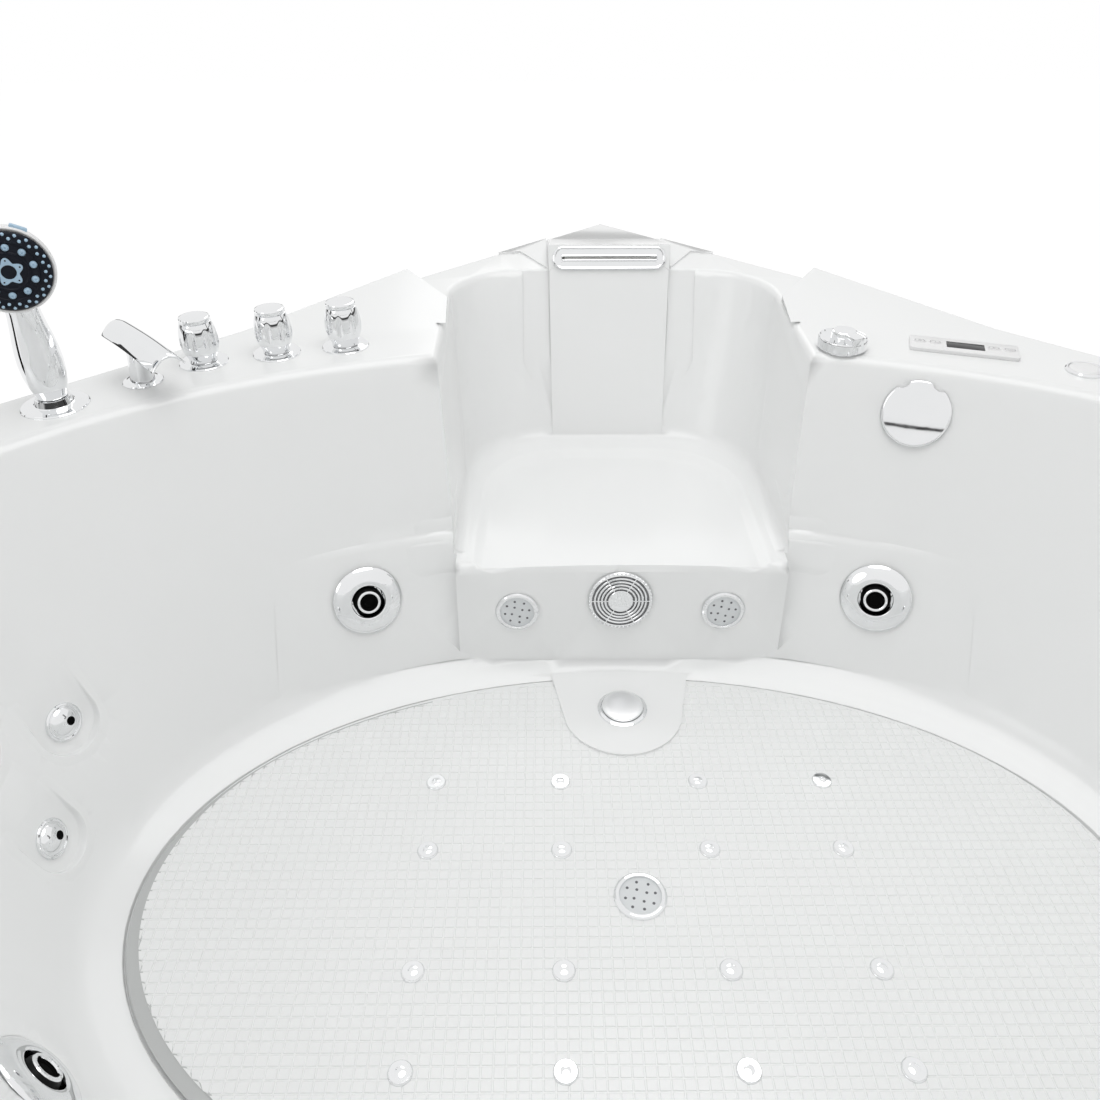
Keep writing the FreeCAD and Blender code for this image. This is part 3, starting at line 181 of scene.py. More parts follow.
finishes = {
    "acrylic": acrylicFinish(),
    "meshFloor": meshFloorFinish(),
    "chrome": chromeFinish(),
    "satinChrome": satinFinish(),
    "black_plastic": plainFinish("blackPlastic", (0.006, 0.006, 0.007), (0.014, 0.014, 0.016), 0.2,
                                 grain=0.05),
    "white_plastic": plainFinish("whitePlastic", (0.80, 0.80, 0.80), (0.84, 0.84, 0.84), 0.28, grain=0.06),
    "frosted_lens": plainFinish("frostedLens", (0.66, 0.68, 0.69), (0.74, 0.76, 0.77), 0.42,
                                grain=0.12),
    "pipe_plastic": plainFinish("pipePlastic", (0.66, 0.66, 0.64), (0.74, 0.74, 0.72), 0.38,
                                scale=9.0, grain=0.08),
    "brass": plainFinish("bareBrass", (0.55, 0.36, 0.13), (0.68, 0.47, 0.2), 0.24, scale=25.0,
                         Metallic=1.0, grain=0.06),
    "pump_housing": plainFinish("pumpHousing", (0.02, 0.021, 0.023), (0.035, 0.036, 0.038), 0.42,
                                grain=0.4),
    "box_plastic": plainFinish("boxPlastic", (0.30, 0.31, 0.32), (0.36, 0.37, 0.38), 0.5, grain=0.3),
    "steel_tube": plainFinish("zincSteel", (0.42, 0.44, 0.46), (0.62, 0.64, 0.66), 0.32, spread=0.2,
                              scale=30.0, Metallic=0.85, grain=0.1),
    "foot_rubber": plainFinish("footRubber", (0.016, 0.016, 0.016), (0.03, 0.03, 0.03), 0.6, grain=0.3),
    "board": boardFinish(),
    # painted shadow: this dark grey stands for the shadow that the raised ribbed floor casts on the strip around
    # it
    "paintedShadowGrey": plainFinish("paintedShadowGrey", (0.49, 0.50, 0.495), (0.53, 0.54, 0.535), 0.4, scale=4.0),
    "paleBlue": plainFinish("paleBluePlastic", (0.36, 0.52, 0.66), (0.44, 0.60, 0.74), 0.25, grain=0.04),
    "navy": plainFinish("navyPlastic", (0.005, 0.006, 0.010), (0.012, 0.015, 0.026), 0.34, IOR=1.25,
                        grain=0.15),
    "holeBlack": plainFinish("holeBlack", (0.002, 0.002, 0.002), (0.004, 0.004, 0.004), 0.75, IOR=1.1),
    "jetBlack": plainFinish("jetBlack", (0.004, 0.004, 0.004), (0.008, 0.008, 0.008), 0.3, IOR=1.2,
                            grain=0.03),
    "wellGrey": plainFinish("wellGrey", (0.22, 0.22, 0.225), (0.28, 0.28, 0.285), 0.4),
    "printGrey": plainFinish("printGrey", (0.10, 0.10, 0.11), (0.14, 0.14, 0.15), 0.45),
}
print("materials ready:", len(finishes))

for entry in frame["record"]["subparts"]:
    mesh = nodes[entry["node"]].data
    mesh.materials.clear()
    mesh.materials.append(finishes[entry["material_slot"]])
    for face in mesh.polygons:
        face.use_smooth = True
    mesh.set_sharp_from_angle(angle=math.radians(28))  # degrees between faces that stay sharp


# ---- modelling helpers

def seatedAt(point, normal, spin=0.0):
    outward = Vector(normal).normalized()
    side = Vector((0, 0, 1)).cross(outward)
    if side.length < 1e-6:
        side = Vector((1, 0, 0))
    side.normalize()
    turn = Matrix((side, outward.cross(side), outward)).transposed().to_4x4()
    return Matrix.Translation(Vector(point)) @ turn @ Matrix.Rotation(math.radians(spin), 4, "Z")


def onDeck(place, spin=0.0):
    return seatedAt((place[0], place[1], deckHeight), (0, 0, 1), spin)


def spun(bm, profile, steps=64):
    ring = [bm.verts.new((radius * mm, 0, height * mm)) for radius, height in profile]
    edges = [bm.edges.new(pair) for pair in zip(ring, ring[1:])]
    bmesh.ops.spin(bm, geom=ring + edges, cent=(0, 0, 0), axis=(0, 0, 1), angle=2 * math.pi, steps=steps,
                   use_merge=True)
    bmesh.ops.remove_doubles(bm, verts=bm.verts, dist=1e-6)


def softened(bm, width, segments=2, limit=32.0):
    sharp = [e for e in bm.edges if len(e.link_faces) == 2 and e.calc_face_angle() > math.radians(limit)]
    bmesh.ops.bevel(bm, geom=sharp, offset=width * mm, offset_type="OFFSET", segments=segments, profile=0.5,
                    affect="EDGES", material=-1, clamp_overlap=True)


def slab(bm, size, centre):
    made = bmesh.ops.create_cube(bm, size=mm)["verts"]
    bmesh.ops.scale(bm, vec=size, verts=made)
    bmesh.ops.translate(bm, vec=[c * mm for c in centre], verts=made)
    return made


def loftedRings(bm, rings, segments=48, capped=True):
    loops = []
    for matrix, acrossX, acrossY in rings:
        ring = bmesh.ops.create_circle(bm, segments=segments, radius=mm)["verts"]
        bmesh.ops.scale(bm, vec=(acrossX, acrossY, 1), verts=ring)
        bmesh.ops.transform(bm, matrix=matrix, verts=ring)
        loops.append(list({e for v in ring for e in v.link_edges}))
    for lower, upper in zip(loops, loops[1:]):
        bmesh.ops.bridge_loops(bm, edges=lower + upper)
    if capped:
        bmesh.ops.holes_fill(bm, edges=loops[0] + loops[-1], sides=segments)


def joined(bm, one):
    spare = bpy.data.meshes.new("one")
    one.to_mesh(spare)
    one.free()
    bm.from_mesh(spare)
    bpy.data.meshes.remove(spare)


def repeated(bm, profile, places, steps=14):
    for x, y, z in places:
        one = bmesh.new()
        spun(one, profile, steps)
        bmesh.ops.translate(one, vec=(x * mm, y * mm, z * mm), verts=one.verts)
        joined(bm, one)


def ringOf(count, radius, height, start=0.0):
    return [(radius * math.cos(math.radians(start + 360.0 / count * k)),
             radius * math.sin(math.radians(start + 360.0 / count * k)), height) for k in range(count)]


def madePiece(name, bm, matrix, body, slotName, covers=(), finish=None, smooth=32.0):
    bmesh.ops.remove_doubles(bm, verts=bm.verts, dist=1e-6)
    bmesh.ops.recalc_face_normals(bm, faces=bm.faces)
    if matrix is not None:
        bmesh.ops.transform(bm, matrix=matrix, verts=bm.verts)
    mesh = bpy.data.meshes.new(name)
    for face in bm.faces:
        face.smooth = True
    bm.to_mesh(mesh)
    bm.free()
    mesh.set_sharp_from_angle(angle=math.radians(smooth))
    mesh.materials.append(finish or finishes[slotName])
    piece = bpy.data.objects.new(name, mesh)
    scene.collection.objects.link(piece)
    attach(piece, body)
    if covers:
        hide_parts(*covers)
    return piece


def turnedPiece(name, profile, matrix, body, slotName, covers=(), finish=None, steps=64):
    bm = bmesh.new()
    spun(bm, profile, steps)
    return madePiece(name, bm, matrix, body, slotName, covers, finish)


# ---- places taken from the frame

deckHeight = 0.600
floorHeight = 0.178
seatLean = math.radians(5.92)
riserNormal = Vector((0, -math.cos(seatLean), math.sin(seatLean)))


def jointPlace(name):
    return Vector(joints[name]["pos_m"]), Vector(joints[name]["axis"])


# ---- shell

def shellPiece():
    source = nodes["tub_shell"]
    bm = bmesh.new()
    bm.from_mesh(source.data)
    bmesh.ops.remove_doubles(bm, verts=bm.verts, dist=2e-5)
    bmesh.ops.dissolve_degenerate(bm, edges=bm.edges, dist=2e-5)
    mesh = bpy.data.meshes.new("tubShell")
    for face in bm.faces:
        face.smooth = True
    bm.to_mesh(mesh)
    bm.free()
    mesh.set_sharp_from_angle(angle=math.radians(24))
    mesh.materials.append(finishes["acrylic"])
    piece = bpy.data.objects.new("tubShell", mesh)
    scene.collection.objects.link(piece)
    even = piece.modifiers.new("evenNormals", "WEIGHTED_NORMAL")
    even.keep_sharp = True
    even.weight = 100
    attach(piece, "tub")
    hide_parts("tub_shell")
    return piece


shell = shellPiece()
print("shell made")

# ---- basin wall as a function

basin = {"centreY": -262.0, "footHeight": 214.0, "footHalfLength": 617.0, "footHalfWidth": 411.0,
         "rimHalfLength": 808.0, "rimHalfWidth": 540.0}


def wallAxes(z):
    share = (z - basin["footHeight"]) / (deckHeight / mm - basin["footHeight"])
    return (basin["footHalfLength"] + share * (basin["rimHalfLength"] - basin["footHalfLength"]),
            basin["footHalfWidth"] + share * (basin["rimHalfWidth"] - basin["footHalfWidth"]))


def wallLift(seat, u, v):
    low, high = -60.0, 80.0
    for _ in range(26):
        middle = (low + high) / 2
        x, y, z = seat @ Vector((u * mm, v * mm, middle * mm)) / mm
        halfLength, halfWidth = wallAxes(z)
        if (x / halfLength) ** 2 + ((y - basin["centreY"]) / halfWidth) ** 2 > 1:
            low = middle
        else:
            high = middle
    return (low + high) / 2


def eased(value, start, end):
    share = min(1.0, max(0.0, (value - start) / (end - start)))
    return share * share * (3 - 2 * share)


def gridSheet(bm, columns, rows, place):
    bmesh.ops.create_grid(bm, x_segments=columns, y_segments=rows, size=1.0)
    for vert in bm.verts:
        vert.co = Vector(place((vert.co.x + 1) / 2, (vert.co.y + 1) / 2)) * mm


# ---- ribbed floor and the painted shadow round it

# the shift moves the inner oval by the painted shadow's offset, so the ribs end short of the painted shadow strip
# at the left and front
floorMesh = {"pitch": 12.0, "gap": 1.6, "slope": 0.9, "lift": 0.8, "halfLength": 559.0, "halfWidth": 341.0,
             "centreY": -263.0, "paintedShadowShift": 8.0}
padShape = {"backHalf": 99.0, "frontHalf": 77.0, "backY": 96.0, "frontY": -8.0, "sideLap": 9, "frontLap": 14,
            "stretch": 1.35}
airJetRows = {"x": (87.0, 244.0), "y": (-104.5, -206.0, -354.5, -455.0)}


def airJetPlaces():
    return [(side * x, y) for x in airJetRows["x"] for side in (-1, 1) for y in airJetRows["y"]]


def underDrainPad(x, y):
    if y > padShape["frontY"]:
        share = (y - padShape["frontY"]) / (padShape["backY"] - padShape["frontY"])
        half = padShape["frontHalf"] + share * (padShape["backHalf"] - padShape["frontHalf"])
        return abs(x) < half - padShape["sideLap"]
    reach = math.hypot(x, (y - padShape["frontY"]) * padShape["stretch"])
    return reach < padShape["frontHalf"] - padShape["frontLap"]


def floorOvals(x, y):
    size = floorMesh
    shift = size["paintedShadowShift"]
    plain = math.hypot(x / size["halfLength"], (y - size["centreY"]) / size["halfWidth"])
    moved = math.hypot((x - shift) / size["halfLength"], (y - size["centreY"] - shift) / size["halfWidth"])
    return plain, moved


def ribbedFloor():
    size = floorMesh
    shift = size["paintedShadowShift"]
    bm = bmesh.new()
    columns = int(2 * size["halfLength"] / size["pitch"]) + 3
    rows = int(2 * size["halfWidth"] / size["pitch"]) + 3
    half = size["pitch"] * mm / 2
    bmesh.ops.create_grid(bm, x_segments=columns, y_segments=rows, size=1.0)
    bmesh.ops.scale(bm, vec=(columns * half, rows * half, 1), verts=bm.verts)
    bmesh.ops.translate(bm, vec=(0, size["centreY"] * mm, floorHeight + 0.05 * mm), verts=bm.verts)
    tiles = list(bm.faces)
    bmesh.ops.inset_individual(bm, faces=tiles, thickness=size["gap"] * mm / 2, depth=0.0)
    bmesh.ops.inset_individual(bm, faces=tiles, thickness=size["slope"] * mm, depth=size["lift"] * mm)
    outside = [f for f in bm.faces if min(max(floorOvals(v.co.x / mm, v.co.y / mm)) for v in f.verts) > 1
               or all(underDrainPad(v.co.x / mm, v.co.y / mm) for v in f.verts)]
    bmesh.ops.delete(bm, geom=outside, context="FACES")
    for vert in bm.verts:
        plain, moved = floorOvals(vert.co.x / mm, vert.co.y / mm)
        if moved > 1:
            vert.co.x = (vert.co.x - shift * mm) / moved + shift * mm
            vert.co.y = (vert.co.y - (size["centreY"] + shift) * mm) / moved + (size["centreY"] + shift) * mm
        plain = floorOvals(vert.co.x / mm, vert.co.y / mm)[0]
        if plain > 1:
            vert.co.x /= plain
            vert.co.y = (vert.co.y - size["centreY"] * mm) / plain + size["centreY"] * mm
    madePiece("ribbedFloor", bm, None, "tub", "acrylic", finish=finishes["meshFloor"], smooth=20)


# painted shadow: a dark grey strip round the ribbed floor, widest at the front left, standing for the shadow the
# floor casts
def paintedShadowBand():
    size = floorMesh
    shift = size["paintedShadowShift"]

    def place(along, across):
        angle = math.radians(118 + 210 * along)
        x, y = size["halfLength"] * math.cos(angle), size["halfWidth"] * math.sin(angle)
        slope = Vector((x / size["halfLength"] ** 2, y / size["halfWidth"] ** 2)).normalized()
        width = max(0.0, -shift * (slope.x + slope.y)) + 1.5
        grow = 2.2 - across * (width + 3.4)
        return (x + slope.x * grow, y + slope.y * grow + size["centreY"],
                floorHeight / mm + 0.35 - 0.2 * across)

    bm = bmesh.new()
    gridSheet(bm, 200, 2, place)
    madePiece("paintedShadowBand", bm, None, "tub", "acrylic", finish=finishes["paintedShadowGrey"])


ribbedFloor()
paintedShadowBand()
print("floor ribs made")

# ---- big jets

# profiles are pairs of radius and height in mm
bigJet = {"face": [(23.0, 4.0), (22.6, 8.2), (23.2, 9.6), (25.0, 10.2), (30.0, 9.7), (37.0, 8.2),
                   (43.0, 5.7), (46.0, 4.0), (47.0, 2.9), (46.4, 2.4), (26.0, 2.4), (23.0, 3.2),
                   (23.0, 4.0)],
          "ball": [(0, 4.0), (11.0, 4.0), (12.2, 9.0), (13.4, 12.2), (16.0, 11.6), (18.4, 8.0),
                   (19.8, 3.0), (20.0, 0), (19.4, -5.0), (16.0, -12.0), (9.0, -17.0), (0, -17.0)],
          "ring": [(11.9, 11.0), (12.4, 12.8), (13.8, 13.4), (15.6, 12.7), (16.2, 11.4), (14.0, 10.4),
                   (11.9, 11.0)],
          "core": [(0, 9.6), (6.5, 9.4), (9.6, 8.6), (11.6, 9.8), (12.3, 11.4), (12.3, 5.0), (0, 5.0)]}
for corner in ("left_back", "right_back", "left_front", "right_front"):
    seat = seatedAt(*jointPlace("jet_face_" + corner + "_turn"))
    turnedPiece("jetFace_" + corner, bigJet["face"], seat, "jet_face_" + corner, "chrome",
                ["jet_face_" + corner], steps=96)
    nozzleBody = "jet_nozzle_" + corner
    turnedPiece("jetBall_" + corner, bigJet["ball"], seat, nozzleBody, "black_plastic", [nozzleBody],
                finish=finishes["jetBlack"], steps=72)
    turnedPiece("jetRing_" + corner, bigJet["ring"], seat, nozzleBody, "chrome", steps=72)
    turnedPiece("jetCore_" + corner, bigJet["core"], seat, nozzleBody, "black_plastic",
                finish=finishes["holeBlack"], steps=48)
print("big jets made")

# ---- small jets

smallJet = {"dome": [(0, 9.6), (5.0, 9.2), (10.0, 8.0), (14.4, 6.0), (17.2, 4.0), (18.0, 2.6),
                     (17.6, 2.0), (15.0, 1.4), (15.0, -9.0), (0, -11.0)],
            "ring": [(18.4, 2.0), (18.8, 3.0), (19.8, 3.4), (21.2, 2.8), (22.0, 1.6), (22.0, 0.1),
                     (15.6, 0.1), (15.6, 1.2), (18.4, 1.2), (18.4, 2.0)],
            "hole": [(0, 0.35), (3.9, 0.35), (4.7, 0.3), (5.1, 0.0), (5.1, -2.0), (0, -2.0)],
            "holePlace": (3.6, -0.5, 9.35), "holeLean": 7}
smallJetSpots = ("left_upper", "left_lower", "left_top", "right_upper", "right_lower", "right_top")
for spot in smallJetSpots:
    rotor = "back_jet_rotor_" + spot
    seat = seatedAt(*jointPlace(rotor + "_spin"))
    turnedPiece("rotorDome_" + spot, smallJet["dome"], seat, rotor, "chrome", [rotor])
    lean = Matrix.Rotation(math.radians(smallJet["holeLean"]), 4, "Y")
    lean = Matrix.Translation(Vector(smallJet["holePlace"]) * mm) @ lean
    turnedPiece("rotorHole_" + spot, smallJet["hole"], seat @ lean, rotor, "black_plastic",
                finish=finishes["holeBlack"], steps=32)
    turnedPiece("jetRim_" + spot, smallJet["ring"], seat, "tub", "chrome")
print("small jets made")

# ---- wall pockets behind the small jets

pocket = {"radius": 38.0, "length": 72.0, "cover": 0.5, "floor": 0.6, "dish": 0.34, "flat": 26.0,
          "blend": 2.4, "lip": (35.8, 37.8), "fade": (39, 60, 1.1), "endFade": (48, 70, 1.5),
          "radii": (0, 10, 20, 26, 30, 33, 34.8, 35.6, 36.0, 36.5, 37.0, 37.5, 37.9, 38.6, 40, 43, 47,
                    52, 56, 60)}


def pocketCover(spot):
    size = pocket
    seat = seatedAt(*jointPlace("back_jet_rotor_" + spot + "_spin"))
    arc = math.pi / 2 * size["radius"]
    radii = size["radii"]

    def place(along, across):
        run = (along * 2 - 1) * (arc + size["length"])
        number = across * (len(radii) - 1)
        radius = radii[int(round(number))]
        if abs(run) < arc:
            turn = run / size["radius"]
            u, v = radius * math.sin(turn), -radius * math.cos(turn)
        else:
            u, v = math.copysign(radius, run), abs(run) - arc
        wall = wallLift(seat, u, v) + size["cover"]
        floor = size["floor"] + size["dish"] * max(0.0, math.hypot(u, min(v, 0.0)) - size["flat"])
        gap = wall - floor
        sunk = wall - 0.5 * (gap + math.sqrt(gap * gap + size["blend"]))  # the lower of the two, rounded
        height = sunk + (wall - sunk) * eased(radius, *size["lip"])
        for reach, (start, end, drop) in ((radius, size["fade"]), (v, size["endFade"])):
            height -= drop * eased(reach, start, end)  # the rim dives under the wall
        return seat @ Vector((u * mm, v * mm, height * mm)) / mm

    bm = bmesh.new()
    gridSheet(bm, 120, len(radii) - 1, place)
    madePiece("pocketCover_" + spot, bm, None, "tub", "acrylic", smooth=38)


for spot in smallJetSpots:
    pocketCover(spot)
print("pockets made")

# ---- ledge ends and deck edges beside the niche

ledge = {"top": 377.0, "soft": 13.0, "proud": 12.4, "outerX": 302.0, "lowZ": 318.0, "highZ": 402.0,
         "innerX": 214.0, "span": 249.0, "cover": 0.8, "fade": 1.6, "fadeX": 272,
         "fadeHigh": 386, "fadeLow": 334, "turnIn": 0.1, "turnDepth": 9}
nicheEdge = {"riserHalf": 228.0, "seatHalf": 233.0, "deckHalf": 245.0, "seatZ": 349.0, "lap": 0.5}


def ledgeEnd(side):
    size = ledge

    def place(along, across):
        z = size["lowZ"] + across * (size["highZ"] - size["lowZ"])
        share = (z - nicheEdge["seatZ"]) / (deckHeight / mm - nicheEdge["seatZ"])
        edge = nicheEdge["seatHalf"] + share * (nicheEdge["deckHalf"] - nicheEdge["seatHalf"])
        if z < nicheEdge["seatZ"]:
            edge = nicheEdge["riserHalf"]
        edge -= nicheEdge["lap"]
        run = max(0.0, (along - size["turnIn"]) / (1 - size["turnIn"]))
        x = edge + run * (size["outerX"] - edge)
        halfLength, halfWidth = wallAxes(z)
        y = basin["centreY"] + halfWidth * math.sqrt(1 - (x / halfLength) ** 2)
        far = (x - size["innerX"]) / size["span"]
        proud = size["proud"] * (1 - 1.2 * far + 0.2 * far * far)
        proud *= 1 - eased(z, size["top"] - size["soft"], size["top"])
        y -= proud + size["cover"]
        for value, start, end in ((x, size["fadeX"], size["outerX"]), (z, size["fadeHigh"], size["highZ"]),
                                  (-z, -size["fadeLow"], -size["lowZ"])):
            y += size["fade"] * eased(value, start, end)  # each rim dives under the wall
        if along < size["turnIn"]:
            y += size["turnDepth"] * (size["turnIn"] - along) / size["turnIn"]
        return side * x, y, z

    bm = bmesh.new()
    gridSheet(bm, 40, 48, place)
    madePiece("ledgeEnd_" + ("left" if side < 0 else "right"), bm, None, "tub", "acrylic", smooth=40)


for side in (-1, 1):
    ledgeEnd(side)
print("ledge ends made")

# ---- lights

lightShape = {"rim": [(24.4, 1.2), (24.6, 2.6), (25.4, 3.7), (27.5, 4.0), (29.4, 2.8), (30.0, 1.2),
                      (30.0, 0.1), (24.4, 0.1), (24.4, 1.2)],
              "lens": [(0, 2.6), (18.0, 2.5), (22.6, 2.2), (24.2, 1.6), (24.2, 0.4), (0, 0.4)],
              "dot": [(0, 0.10), (1.1, 0.14), (1.5, 0.22), (1.7, 0.05), (1.7, -1.0), (0, -1.0)],
              "outerRing": 17.2, "innerRing": 8.2, "dotHeight": 2.55}
lightMeans = [(Vector((side * 0.145, 0.12077, 0.274)), riserNormal) for side in (-1, 1)]
lightMeans.append((Vector((0, -0.268, floorHeight)), Vector((0, 0, 1))))


def lightPiece(name, seat, covers):
    turnedPiece(name + "Rim", lightShape["rim"], seat, "tub", "chrome", steps=72)
    turnedPiece(name + "Lens", lightShape["lens"], seat, "tub", "frosted_lens", covers, steps=64)
    bm = bmesh.new()
    high = lightShape["dotHeight"]
    dots = ringOf(8, lightShape["outerRing"], high, 10.0) + ringOf(4, lightShape["innerRing"], high, 25.0)
    repeated(bm, lightShape["dot"], dots, 16)
    madePiece(name + "Dots", bm, seat, "tub", "frosted_lens", finish=finishes["printGrey"])


for number, (point, normal) in enumerate(lightMeans):
    lightPiece("light%d" % number, seatedAt(point, normal), ["light_lenses"])
print("lights made")

# ---- floor air jets

airJetShape = [(0, 3.3), (5.4, 3.1), (6.3, 2.6), (6.7, 1.2), (8.0, 1.0), (8.5, 2.3), (9.4, 2.8),
               (10.8, 2.6), (11.9, 1.9), (12.5, 0.9), (12.5, 0.1), (0, 0.1)]
for number, (x, y) in enumerate(airJetPlaces()):
    seat = seatedAt((x * mm, y * mm, floorHeight), (0, 0, 1))
    turnedPiece("airJet%02d" % number, airJetShape, seat, "tub", "chrome", steps=40)
print("air jets made")

# ---- suction grille

suctionShape = {"centre": [(0, 7.6), (10, 7.5), (16.6, 7.2), (17.4, 6.6), (17.4, 3.0), (0, 3.0)],
                "rings": (21.3, 26.1, 30.9, 35.9), "ringWidth": 2.9, "ringDrop": 0.35,
                "ribs": 6, "rib": (24.5, 1.5, 2.2), "ribPlace": (28.8, 0, 5.0),
                "rim": [(40.2, 3.0), (40.2, 5.6), (41.0, 6.3), (43.0, 5.4), (44.6, 3.8), (45.0, 2.6),
                        (40.2, 2.6), (40.2, 3.0)],
                "well": [(0, 3.2), (39.8, 3.2), (40.2, 2.4), (0, 2.4)],
                "teeth": 48, "tooth": (3.6, 2.6, 2.4), "toothPlace": (43.0, 0, 4.6)}


def slabsAround(bm, count, size, place):
    for number in range(count):
        made = slab(bm, size, place)
        turn = Matrix.Rotation(2 * math.pi * number / count, 3, "Z")
        bmesh.ops.rotate(bm, cent=(0, 0, 0), matrix=turn, verts=made)


def suctionGrille():
    seat = seatedAt(Vector((0, 0.126881, 0.29)), riserNormal)
    turnedPiece("suctionCentre", suctionShape["centre"], seat, "tub", "chrome", ["suction_cover"])
    half = suctionShape["ringWidth"] / 2
    for number, radius in enumerate(suctionShape["rings"]):
        top = 7.0 - suctionShape["ringDrop"] * number
        ring = [(radius - half, 3.6), (radius - half, top - 0.5), (radius - half + 0.5, top),
                (radius + half - 0.5, top - 0.1), (radius + half, top - 0.6), (radius + half, 3.6),
                (radius - half, 3.6)]
        turnedPiece("suctionRing%d" % number, ring, seat, "tub", "chrome", steps=72)
    bm = bmesh.new()
    slabsAround(bm, suctionShape["ribs"], suctionShape["rib"], suctionShape["ribPlace"])
    madePiece("suctionRibs", bm, seat, "tub", "chrome")
    turnedPiece("suctionRim", suctionShape["rim"], seat, "tub", "chrome", steps=96)
    bm = bmesh.new()
    slabsAround(bm, suctionShape["teeth"], suctionShape["tooth"], suctionShape["toothPlace"])
    softened(bm, 0.4, 1)
    madePiece("suctionTeeth", bm, seat, "tub", "chrome")
    turnedPiece("suctionWell", suctionShape["well"], seat, "tub", "black_plastic",
                finish=finishes["wellGrey"])


suctionGrille()
print("suction made")

# ---- drain and overflow

drainShape = {"place": (0.0, 20.4), "height": 182.0,
              "flange": [(24.5, 2.2), (27.6, 2.9), (30.6, 3.1), (33.2, 2.0), (34.0, 0.6), (34.0, 0.1),
                         (24.0, 0.1), (21.4, -4.0), (21.0, -52.0), (24.0, -52.0), (24.0, -1.0),
                         (24.5, 2.2)],
              "plug": [(0, 9.9), (12, 9.8), (21, 9.4), (25.4, 8.8), (27.6, 7.6), (28.2, 6.0),
                       (27.6, 3.7), (5, 3.6),
                       (5, -40), (0, -44)]}
drainSeat = seatedAt((0, drainShape["place"][1] * mm, drainShape["height"] * mm), (0, 0, 1))
turnedPiece("drainFlangeRim", drainShape["flange"], drainSeat, "tub", "chrome", steps=72)
turnedPiece("drainCap", drainShape["plug"], drainSeat, "drain_plug", "chrome", ["drain_plug"],
            finish=finishes["satinChrome"], steps=72)

overflowShape = {"disc": [(0, 6.6), (39.8, 6.6), (40.6, 6.58), (41.9, 6.3), (42.7, 5.6), (43.0, 4.6),
                          (42.6, 3.0), (41, 2.4), (0, 2.4)],
                 "notches": (62.0, 122.0), "notchRadius": 12.5, "notchReach": 50.5}


def overflowKnob():
    size = overflowShape
    bm = bmesh.new()
    spun(bm, size["disc"], 144)
    for vert in bm.verts:
        for angle in size["notches"]:
            turn = math.radians(angle)
            centre = Vector((math.cos(turn), math.sin(turn), 0)) * size["notchReach"] * mm
            away = Vector((vert.co.x, vert.co.y, 0)) - centre
            if away.length < size["notchRadius"] * mm:
                away.normalize()
                vert.co.x = centre.x + away.x * size["notchRadius"] * mm
                vert.co.y = centre.y + away.y * size["notchRadius"] * mm
    madePiece("overflowKnob", bm, seatedAt(*jointPlace("overflow_turn")), "overflow_knob", "chrome",
              ["overflow_knob"])


overflowKnob()
print("drain and overflow made")

# ---- deck knobs

knobShape = {"profile": [(7.6, 3.4), (17.2, 3.4), (17.6, 4.2), (17.6, 7.2), (18.4, 9.4), (19.6, 12),
                         (21.0, 15), (22.2, 18.5), (23.1, 22), (23.7, 26), (24.0, 30), (23.9, 34),
                         (23.6, 38), (23.1, 42), (22.4, 46), (21.4, 50), (20.4, 53), (19.4, 55.5),
                         (18.0, 56.2), (18.0, 57.0), (19.0, 57.4), (19.2, 58.0), (19.2, 60.6),
                         (18.6, 61.6), (17.2, 62.2), (16.4, 62.35), (0, 62.4)],
             "flange": [(11.5, 0.1), (31.0, 0.1), (31.0, 1.0), (30.2, 1.9), (27.0, 2.3), (20.6, 2.6),
                        (19.6, 3.0), (11.5, 3.0), (11.5, 0.1)],
             "flutes": 8, "cutRadius": 7.5, "cutReach": 29.4, "low": 11.0, "high": 54.5}


def deckKnob(name):
    size = knobShape
    bm = bmesh.new()
    spun(bm, size["profile"], 128)
    step = 2 * math.pi / size["flutes"]
    for vert in bm.verts:
        radius = math.hypot(vert.co.x, vert.co.y) / mm
        height = vert.co.z / mm
        angle = (math.atan2(vert.co.y, vert.co.x) + step / 2) % step - step / 2
        inside = size["cutRadius"] ** 2 - (size["cutReach"] * math.sin(angle)) ** 2
        if radius > 15 and size["low"] < height < size["high"] and inside > 0:
            limit = size["cutReach"] * math.cos(angle) - math.sqrt(inside)
            if limit < radius:
                vert.co.x *= limit / radius
                vert.co.y *= limit / radius
    seat = Matrix.Translation(jointPlace(name + "_turn")[0])
    madePiece("knob_" + name + "_barrel", bm, seat, "knob_" + name, "chrome", ["knob_" + name], smooth=24)
    turnedPiece("knobFlange_" + name, size["flange"], seat, "tub", "chrome", ["knob_flanges"], steps=72)


for knobName in ("hot", "diverter", "cold"):
    deckKnob(knobName)
print("deck knobs made")

# ---- hand shower

